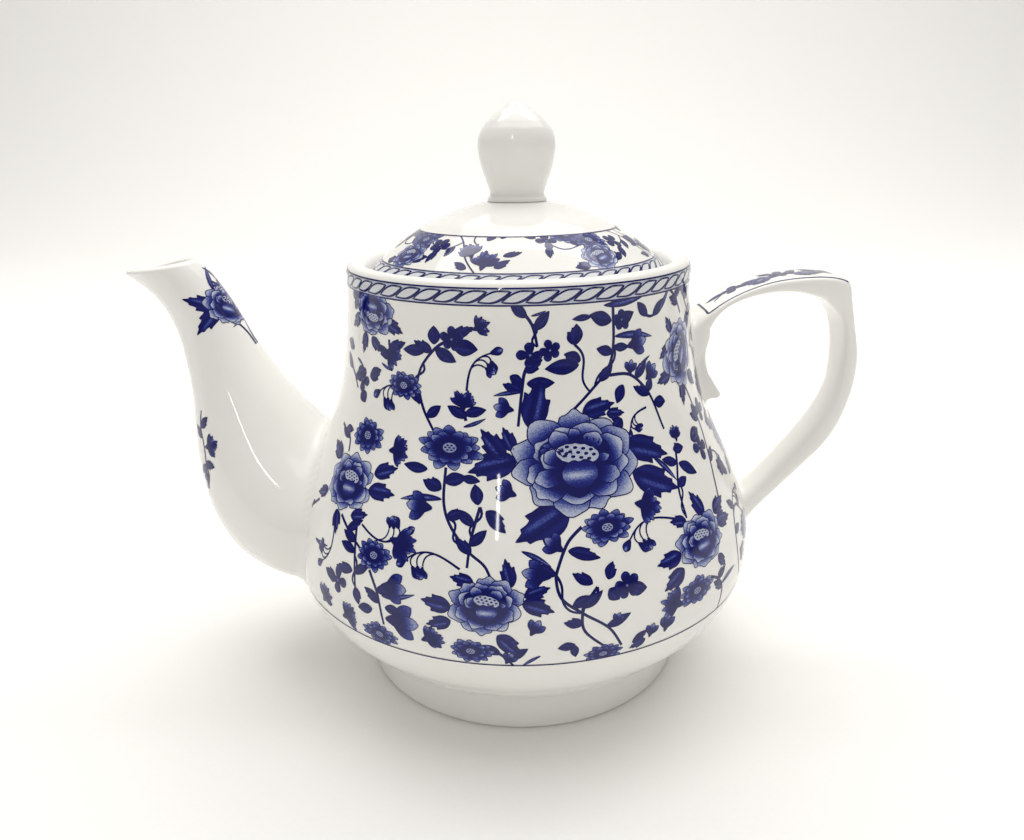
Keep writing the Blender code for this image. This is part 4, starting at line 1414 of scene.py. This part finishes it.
def rope_band_tree():
    """Links set out along a strip, then the strip wrapped round the axis along a profile: the band's sizes are inputs."""
    tree = bpy.data.node_groups.new("rope_band", "GeometryNodeTree")
    face = tree.interface
    face.new_socket("Geometry", in_out="OUTPUT", socket_type="NodeSocketGeometry")
    for name, kind in (
        ("Link", "NodeSocketObject"), ("Links", "NodeSocketInt"), ("Profile", "NodeSocketObject"), ("Axis", "NodeSocketFloat"),
        ("Lift", "NodeSocketFloat"), ("Material", "NodeSocketMaterial"),
    ):
        face.new_socket(name, in_out="INPUT", socket_type=kind)
    source = node(tree, "NodeGroupInput").outputs

    def number(operation, a, b=0.0):
        """The result of one sum; a and b are plain numbers or sockets."""
        given = {0: a, 1: b}
        plain = {k: v for k, v in given.items() if isinstance(v, (int, float))}
        sockets = {k: v for k, v in given.items() if k not in plain}
        return node(tree, "ShaderNodeMath", {"operation": operation}, plain, sockets).outputs[0]

    pitch = number("DIVIDE", 1.0, source["Links"])
    offset = node(tree, "ShaderNodeCombineXYZ", links={"X": pitch})
    strip = node(tree, "GeometryNodeMeshLine", links={"Count": source["Links"], "Offset": offset.outputs[0]})
    link = node(tree, "GeometryNodeObjectInfo", links={"Object": source["Link"]})
    scale = node(tree, "ShaderNodeCombineXYZ", inputs={"Y": 1.0, "Z": 1.0}, links={"X": pitch})
    laid = node(
        tree, "GeometryNodeInstanceOnPoints",
        links={"Points": strip.outputs[0], "Instance": link.outputs["Geometry"], "Scale": scale.outputs[0]},
    )
    real = node(tree, "GeometryNodeRealizeInstances", links={"Geometry": laid.outputs[0]})
    position = node(tree, "GeometryNodeInputPosition").outputs[0]
    here = node(tree, "ShaderNodeSeparateXYZ", links={"Vector": position}).outputs
    # Across the band the strip follows the wall's own profile, and its layers stand off square to it
    section = node(tree, "GeometryNodeObjectInfo", links={"Object": source["Profile"]})
    curve = node(tree, "GeometryNodeMeshToCurve", links={"Mesh": section.outputs["Geometry"]})
    wall = node(
        tree, "GeometryNodeSampleCurve", {"use_all_curves": True}, links={"Curves": curve.outputs[0], "Factor": here["Y"]},
    )
    at = node(tree, "ShaderNodeSeparateXYZ", links={"Vector": wall.outputs["Position"]}).outputs
    along = node(tree, "ShaderNodeSeparateXYZ", links={"Vector": wall.outputs["Tangent"]}).outputs
    lift = number("ADD", here["Z"], source["Lift"])
    radius = number("ADD", at["X"], number("MULTIPLY", lift, along["Z"]))
    height = number("SUBTRACT", at["Z"], number("MULTIPLY", lift, along["X"]))
    turn = number("MULTIPLY", here["X"], 2 * math.pi)
    x = number("ADD", source["Axis"], number("MULTIPLY", radius, number("COSINE", turn)))
    y = number("MULTIPLY", radius, number("SINE", turn))
    wrapped = node(tree, "ShaderNodeCombineXYZ", links={"X": x, "Y": y, "Z": height})
    moved = node(
        tree, "GeometryNodeSetPosition", links={"Geometry": real.outputs[0], "Position": wrapped.outputs[0]},
    )
    painted = node(
        tree, "GeometryNodeSetMaterial", links={"Geometry": moved.outputs[0], "Material": source["Material"]},
    )
    node(tree, "NodeGroupOutput", links={0: painted.outputs[0]})
    return tree


def rope_band(name, links, surface, low, high, body):
    """The rope of links, its pale ground and its two lines, on one turned surface."""
    up = np.linspace(low, high, 13)
    section, _ = surface.place(np.full(13, 90.0), up, np.zeros(13))
    mesh = bpy.data.meshes.new("band_profile")
    profile = [((x - AXIS_X) * MM, 0.0, z * MM) for x, _, z in section]
    mesh.from_pydata(profile, [(k, k + 1) for k in range(12)], [])
    profile = bpy.data.objects.new("band_profile", mesh)
    bpy.context.scene.collection.objects.link(profile)
    values = {
        "Link": rope_link(), "Links": links, "Profile": profile, "Axis": AXIS_X * MM,
        "Lift": (PRINT_LIFT + LAYER_STEP) * MM, "Material": material("cobalt_print"),
    }
    obj = new_object(name, [(0, 0, 0)], [])
    tree = bpy.data.node_groups.get("rope_band") or rope_band_tree()
    modifier = obj.modifiers.new("rope", "NODES")
    modifier.node_group = tree
    for item in tree.interface.items_tree:
        if item.in_out == "INPUT":
            modifier[item.identifier] = values[item.name]
    as_plain_mesh(obj)
    bpy.data.objects.remove(values["Link"])
    bpy.data.objects.remove(profile)
    strips = [(low, high, 7, 0.10, 0.0)] + [(at - 0.2, at + 0.2, 2, 1.0, 6.5) for at in (low, high)]
    points, normals, inks, faces, start = [], [], [], [], 0
    for bottom, top, rows, ink, layer in strips:
        turn, up = np.meshgrid(np.arange(0.0, 360.0, 1.5), np.linspace(bottom, top, rows))
        p, n = surface.place(turn.ravel(), up.ravel(), np.full(turn.size, PRINT_LIFT + layer * LAYER_STEP))
        points.append(p)
        normals.append(n)
        inks.append(np.full(len(p), ink))
        faces.append(strip_faces(240, rows) + start)
        start += len(p)
    lines = print_object(name + "_ground", np.vstack(points), np.vstack(normals), np.concatenate(inks), np.vstack(faces))
    for made in (obj, lines):
        made.data.polygons.foreach_set("use_smooth", [True] * len(made.data.polygons))
        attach(made, body)


def strip_faces(count, rows=2):
    """Triangles of a closed strip of so many points round and rows up."""
    j = np.arange(count)
    k = (j + 1) % count
    one = np.vstack([np.column_stack([j, k, count + k]), np.column_stack([j, count + k, count + j])])
    return np.vstack([one + row * count for row in range(rows - 1)])


def body_surface():
    """The pot's outside from its foot up to the crest of the rim."""
    profile = pot_profile()
    crest = int(np.argmax(profile[:, 1]))
    outside = profile[crest:][::-1]
    return Turned(outside[(outside[:, 1] > 20.0) & (outside[:, 0] > THROAT_RADIUS)], PRINT_BOTTOM)


def lid_surface():
    profile = lid_profile()
    crown = profile[: int(np.argmax(profile[:, 0])) + 1][::-1]
    crown = crown[crown[:, 0] > 3.0]
    surface = Turned(crown, LID_BASE)
    start = surface.height_of_radius(LID_BAND_INNER)
    surface.along = surface.along - start
    return surface


class TEAPOT_OT_rope_bands(bpy.types.Operator):
    """Set the rope band and its lines round the neck and round the lid, and the line under the print"""

    bl_idname = "teapot.rope_bands"
    bl_label = "Rope bands"

    def execute(self, context):
        looks = context.scene.teapot_looks
        body = body_surface()
        low = body.height_of(PRINT_TOP)
        rope_band("rope_band_body", looks.body_links, body, low, low + BAND_WIDTH, "pot")
        lid = lid_surface()
        outer = lid.height_of_radius(LID_BAND_OUTER)
        rope_band("rope_band_lid", looks.lid_links, lid, outer, 0.0, "lid")
        for name, surface, up, width, owner, slot_name in (
            ("line_under_print", body, 0.0, 0.4, "pot", "pot_body"),
            ("line_lid_top", lid, lid.height_of_radius(LID_PRINT_INNER), 0.42, "lid", "lid"),
        ):
            turn = np.arange(360.0)
            edges = (up - width / 2, up + width / 2)
            places = np.vstack([np.column_stack([turn, np.full(360, edge)]) for edge in edges])
            points, normals = surface.place(places[:, 0], places[:, 1], np.full(720, PRINT_LIFT + 10 * LAYER_STEP))
            obj = print_object(name, points, normals, np.full(720, 1.0), strip_faces(360))
            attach(obj, owner)
        return {"FINISHED"}


class TEAPOT_OT_lid_print(bpy.types.Operator):
    """Lay the floral sheet round the lid's shoulder"""

    bl_idname = "teapot.lid_print"
    bl_label = "Lid print"

    def execute(self, context):
        surface = lid_surface()
        laid = Laid(surface)
        draw = random.Random(5)
        top = surface.height_of_radius(LID_PRINT_INNER)
        # Each part of the sheet spans 90 degrees of the lid
        for k in range(4):
            at = 90.0 * k
            laid.vine(((at - 34, 15), (at - 27, 11), (at - 22, 5), (at - 16, 0)), 0.55, 0.0)
            laid.vine(((at - 27, 11), (at - 34, 8), (at - 42, 9), (at - 50, 12)), 0.5, 0.0)
            laid.vine(((at - 22, 15), (at - 22, 12), (at - 18, 9.5)), 0.5, 0.0)
            laid.vine(((at + 12, 12), (at + 20, 8), (at + 29, 9), (at + 36, 11.5)), 0.55, 0.0)
            laid.vine(((at + 33, 10), (at + 33, 5), (at + 37, 0)), 0.5, 0.0)
            laid.motif(side_daisy(draw, 7.0), at - 14, 1.0, -10, 4.0)
            laid.motif(side_daisy(draw, 6.0), at - 19, 5.0, 25, 3.0)
            laid.motif(peony(draw, 6.4, 5.0, False), at - 54, 4.5, draw.uniform(-30, 30), 5.0)
            laid.motif(daisy(draw, 5.6, 4.2), at + 37, 11.0, 0, 4.0)
            laid.motif(daisy(draw, 5.2, 3.8), at + 26, 14.0, 0, 4.0)
            laid.motif(blossom(draw, 3.0), at - 39, 9.2, draw.uniform(0, 90), 3.0)
            laid.motif(blossom(draw, 3.0), at + 14, 11.5, draw.uniform(0, 90), 3.0)
            for degrees, up, turn, length, width in (
                (-30, 9, 150, 4.6, 2.4), (-38, 7, 160, 5.2, 2.6), (-45, 8, 60, 4.6, 2.2), (-20, 1.5, 70, 5.0, 2.4),
                (-9, 2, -60, 5.2, 2.4), (-6, 6, -75, 5.6, 2.0), (-15, 12, -30, 4.8, 2.4), (-8, 13, -20, 4.4, 2.2),
                (9, 13, 60, 4.6, 2.2), (14, 9, 170, 4.6, 2.3), (36, 6.5, -130, 4.8, 2.4), (42, 2.5, -60, 4.6, 2.2),
                (-60, 9, 40, 5.5, 3.0), (-48, 3, -70, 5.5, 3.0), (-61, 2, 100, 5.5, 3.0), (-52, 10, -30, 5.2, 2.8),
            ):
                laid.motif(leaf(draw, length * 0.86, width * 0.86, 1), at + degrees, up, turn, 1.4)
        obj = laid_object("print_lid", laid, 0.0, top)
        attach(obj, "lid")
        return {"FINISHED"}


def cast_on(tree, sheet, origin, across, up, toward):
    """Throws a flat sheet onto a surface along one direction. Returns points, normals and what landed."""
    flat = np.vstack(sheet.points)
    layers = np.concatenate(sheet.layer)
    points, normals, landed = [], [], []
    for (u, v), layer in zip(flat, layers):
        start = Vector(origin) + Vector(across) * float(u) + Vector(up) * float(v)
        hit, normal, _, _ = tree.ray_cast(start * MM, Vector(toward), 0.06)
        landed.append(hit is not None)
        if hit is None:
            points.append((0, 0, 0))
            normals.append((0, 0, 1))
            continue
        points.append(tuple((hit + normal * ((PRINT_LIFT + 0.03 + float(layer) * LAYER_STEP) * MM)) / MM))
        normals.append(tuple(normal))
    return np.array(points), np.array(normals), np.array(landed)


def cast_print(name, target, sheets):
    """Several (sheet, origin, across, up, toward) prints thrown onto one piece."""
    mesh = bpy.data.objects[target].data
    smooth = vertex_normals(bpy.data.objects[target])
    corners = [v.co.copy() for v in mesh.vertices]
    mesh.calc_loop_triangles()
    triangles = [tuple(t.vertices) for t in mesh.loop_triangles]
    tree = BVHTree.FromPolygons(corners, triangles)
    all_points, all_normals, inks, faces, start = [], [], [], [], 0
    for sheet, origin, across, up, toward in sheets:
        points, _, landed = cast_on(tree, sheet, origin, across, up, toward)
        normals = []
        for point in points:
            hit, _, index, _ = tree.find_nearest(Vector(point) * MM)
            near = triangles[index]
            weights = np.array([1 / (1e-7 + (corners[v] - hit).length) for v in near])
            blended = (smooth[list(near)] * weights[:, None]).sum(axis=0)
            normals.append(blended / np.linalg.norm(blended))
        mirrored = float(np.cross(across, up) @ np.array(toward)) > 0
        kept = [f[::-1] if mirrored else f for f in np.vstack(sheet.faces) if landed[f].all()]
        all_points.append(points)
        all_normals.append(np.array(normals))
        inks.append(np.concatenate(sheet.ink))
        faces += [f + start for f in kept]
        start += len(points)
    obj = print_object(name, np.vstack(all_points), np.vstack(all_normals), np.concatenate(inks), faces)
    loose = bmesh.new()
    loose.from_mesh(obj.data)
    bmesh.ops.delete(loose, geom=[v for v in loose.verts if not v.link_faces], context="VERTS")
    loose.to_mesh(obj.data)
    loose.free()
    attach(obj, "pot")
    return obj


class TEAPOT_OT_sprigs(bpy.types.Operator):
    """Lay the sprigs on the spout and the bordered panel on the handle's top"""

    bl_idname = "teapot.sprigs"
    bl_label = "Spout and handle sprigs"

    def execute(self, context):
        draw = random.Random(23)
        upper = Sheet()
        for turn, length, width in ((62, 10.5, 4.4), (112, 10.5, 4.4)):
            upper.stamp(leaf(draw, length, width, 2), 0.5, 1.0, turn)
        for across, turn in ((1.0, 2), (3.0, -14)):
            upper.stamp(thin_leaf(draw, 8.0), across, 6.0, turn)
        upper.stamp(peony(draw, 7.2, 6.6, False), 3.0, 1.0, -35, raised=3.0)
        upper.line(smooth_curve([(3.0, -4.0), (5.0, -8.0), (6.0, -12.5)], 6), 0.6, 1.0, 0.0)
        lower = Sheet()
        lower.line(smooth_curve([(-3.0, 12.0), (-3.0, 7.0), (-0.5, 1.0), (1.0, -6.0)], 6), 0.6, 1.0, 0.0)
        small_leaves = (
            (-40, -2.6, 7.0, 4.6), (60, -2.0, 4.0, 5.0), (-100, 0.6, -3.0, 4.6), (130, 0.8, -4.0, 5.0),
            (180, 1.0, -6.0, 5.0),
        )
        for turn, across, up, length in small_leaves:
            lower.stamp(leaf(draw, length, 2.6, 1), across, up, turn, raised=1.0)
        lower.stamp(side_daisy(draw, 6.2), 0.0, 1.5, -70, raised=3.0)
        lower.stamp(spray(draw, 6.5, 1), 1.0, -4.0, 175, raised=1.0)
        # The upper sprig is on the shoulder behind the beak and the lower one round the outside of the bend, once a side
        both = []
        for side in (-1, 1):
            for sheet, at, toward, lean in (
                (upper, (-80.5, side * 7.0, 114.0), (-0.42, -side * 0.86, -0.28), (-0.30, 0.0, 0.95)),
                (lower, (-87.5, side * 16.0, 73.0), (0.66, -side * 0.75, 0.0), (0.06, 0.0, 1.0)),
            ):
                way = np.array(toward) / np.linalg.norm(toward)
                up = np.array(lean) - way * (np.array(lean) @ way)
                up /= np.linalg.norm(up)
                across = np.cross(way, up) * (1.0 if side < 0 else -1.0)
                both.append((sheet, tuple(np.array(at) - way * 20.0), tuple(across), tuple(up), tuple(way)))
        cast_print("print_spout", "spout_glazed", both)
        panel = Sheet()
        length, half = 40.0, 7.8
        corner = 0.6
        frame_line = []
        right, top = length - corner, half - corner
        for cx, cy, start in ((right, top, 0), (corner, top, 90), (corner, -top, 180), (right, -top, 270)):
            for turn in np.linspace(start, start + 90, 7):
                angle = math.radians(turn)
                frame_line.append((cx + corner * math.cos(angle), cy + corner * math.sin(angle)))
        frame_line = np.array(frame_line)
        dense = resampled(np.vstack([frame_line, frame_line[:1]]), 0.8)[:-1]
        panel.line(dense, 0.5, 1.0, 3.0, closed=True)
        panel.line(smooth_curve([(3, -2), (9, 2), (16, -2), (24, 2), (31, -2), (37, 2)], 12), 0.55, 1.0, 0.0)
        for k, (x, y) in enumerate(((8.5, 0.5), (16.0, -2.0), (23.0, 1.5), (29.5, -1.5), (34.5, 1.5))):
            flower = daisy(draw, 4.2, 3.4) if k % 2 else blossom(draw, 3.4)
            panel.stamp(flower, x, y, draw.uniform(0, 90), raised=3.0)
            panel.stamp(leaf(draw, 5.6, 2.6), x + 2.0, y - 0.5, -70 + 20 * k, raised=1.0)
            panel.stamp(leaf(draw, 5.2, 2.4), x - 2.0, y + 0.5, 80 - 12 * k, raised=1.0)
        above = (panel, (55.4 + AXIS_X, 0.0, 140.0), (1.0, 0.0, 0.0), (0.0, 1.0, 0.0), (0.0, 0.0, -1.0))
        cast_print("print_handle", "handle_glazed", [above])
        return {"FINISHED"}


class TEAPOT_OT_stage(bpy.types.Operator):
    """Set the paper, the soft lights and the camera"""

    bl_idname = "teapot.stage"
    bl_label = "Stage"

    def execute(self, context):
        settings = context.scene.teapot_stage
        # A wide roll of paper that lies under the pot and curves up behind it
        rows = [(-3000.0, 0.0), (-600.0, 0.0), (600.0, 0.0), (1000.0, 0.0)]
        for degrees in range(9, 91, 9):
            angle = math.radians(degrees)
            rows.append((1000.0 + 600.0 * math.sin(angle), 600.0 - 600.0 * math.cos(angle)))
        rows.append((1600.0, 2600.0))
        points = [(side * 3500.0, y, z - 0.02) for y, z in rows for side in (-1, 1)]
        faces = [(2 * k, 2 * k + 1, 2 * k + 3, 2 * k + 2) for k in range(len(rows) - 1)]
        floor = new_object("paper", points, faces)
        floor.data.materials.append(material("paper_sweep"))
        context.scene.view_settings.view_transform = "Standard"
        world = bpy.data.worlds.new("room")
        world.use_nodes = True
        context.scene.world = world
        tree = world.node_tree
        back = tree.nodes["Background"]
        # The room is lighter overhead than at eye level
        direction = node(tree, "ShaderNodeTexCoord").outputs["Generated"]
        way = node(tree, "ShaderNodeSeparateXYZ", links={"Vector": direction})
        stops = (
            (0.0, (0.29, 0.285, 0.27, 1)),
            (0.35, (0.46, 0.45, 0.43, 1)),
            (0.8, (1.0, 0.985, 0.95, 1)),
        )
        tones = node(tree, "ShaderNodeValToRGB", links={"Fac": way.outputs["Z"]}, stops=stops)
        room = tones.outputs["Color"]
        tree.links.new(room, back.inputs["Color"])
        back.inputs["Strength"].default_value = settings.world_strength
        lights = (
            ("overhead", (0.1, 0.25, 1.3), (0.0, 0.0, 0.08), 1.6, 1.6, settings.key_power),
            ("background", (0.0, 0.7, 1.9), (0.0, 1.6, 0.4), 2.4, 0.6, settings.key_power),
            ("window", (-0.24, -1.15, 0.82), (0.0, 0.0, 0.08), 0.03, 0.5, settings.window_power),
        )
        for name, place, aim, wide, high, power in lights:
            light = bpy.data.lights.new(name, "AREA")
            light.shape = "RECTANGLE"
            light.size, light.size_y = wide, high
            light.energy = power
            light.color = (1.0, 0.985, 0.95)
            obj = bpy.data.objects.new(name, light)
            obj.location = place
            obj.rotation_euler = (Vector(aim) - Vector(place)).to_track_quat("-Z", "Y").to_euler()
            context.scene.collection.objects.link(obj)
        camera = bpy.data.cameras.new("camera")
        camera.lens = CAMERA_LENS
        camera.sensor_width = 36.0
        camera.clip_start = 0.01
        obj = bpy.data.objects.new("camera", camera)
        tilt = Matrix.Rotation(math.pi / 2 - CAMERA_TILT, 4, "X")
        turn = Matrix.Rotation(CAMERA_TURN, 4, "Z") @ tilt @ Matrix.Rotation(CAMERA_ROLL, 4, "Z")
        obj.matrix_world = Matrix.Translation(CAMERA_PLACE) @ turn
        context.scene.collection.objects.link(obj)
        context.scene.camera = obj
        return {"FINISHED"}


class TEAPOT_PT_panel(bpy.types.Panel):
    """Lists the teapot's pieces and settings"""

    bl_idname = "TEAPOT_PT_panel"
    bl_label = "Teapot"
    bl_space_type = "VIEW_3D"
    bl_region_type = "UI"
    bl_category = "Teapot"

    def draw(self, context):
        for group in (context.scene.teapot_looks, context.scene.teapot_stage):
            for name in group.__annotations__:
                self.layout.prop(group, name)
        for operator in OPERATORS:
            self.layout.operator(operator.bl_idname)


OPERATORS = (
    TEAPOT_OT_pot, TEAPOT_OT_spout, TEAPOT_OT_handle, TEAPOT_OT_lid, TEAPOT_OT_body_print, TEAPOT_OT_rope_bands,
    TEAPOT_OT_lid_print, TEAPOT_OT_sprigs, TEAPOT_OT_stage,
)
CLASSES = (TeapotLooks, TeapotStage, *OPERATORS, TEAPOT_PT_panel)


def register():
    for made in CLASSES:
        bpy.utils.register_class(made)
    bpy.types.Scene.teapot_looks = PointerProperty(type=TeapotLooks)
    bpy.types.Scene.teapot_stage = PointerProperty(type=TeapotStage)


def unregister():
    del bpy.types.Scene.teapot_stage
    del bpy.types.Scene.teapot_looks
    for made in reversed(CLASSES):
        bpy.utils.unregister_class(made)


def main():
    register()
    bpy.ops.teapot.pot()
    bpy.ops.teapot.spout()
    bpy.ops.teapot.handle()
    bpy.ops.teapot.lid()
    bpy.ops.teapot.body_print()
    bpy.ops.teapot.rope_bands()
    bpy.ops.teapot.lid_print()
    bpy.ops.teapot.sprigs()
    bpy.ops.teapot.stage()


if __name__ == "__main__":
    main()
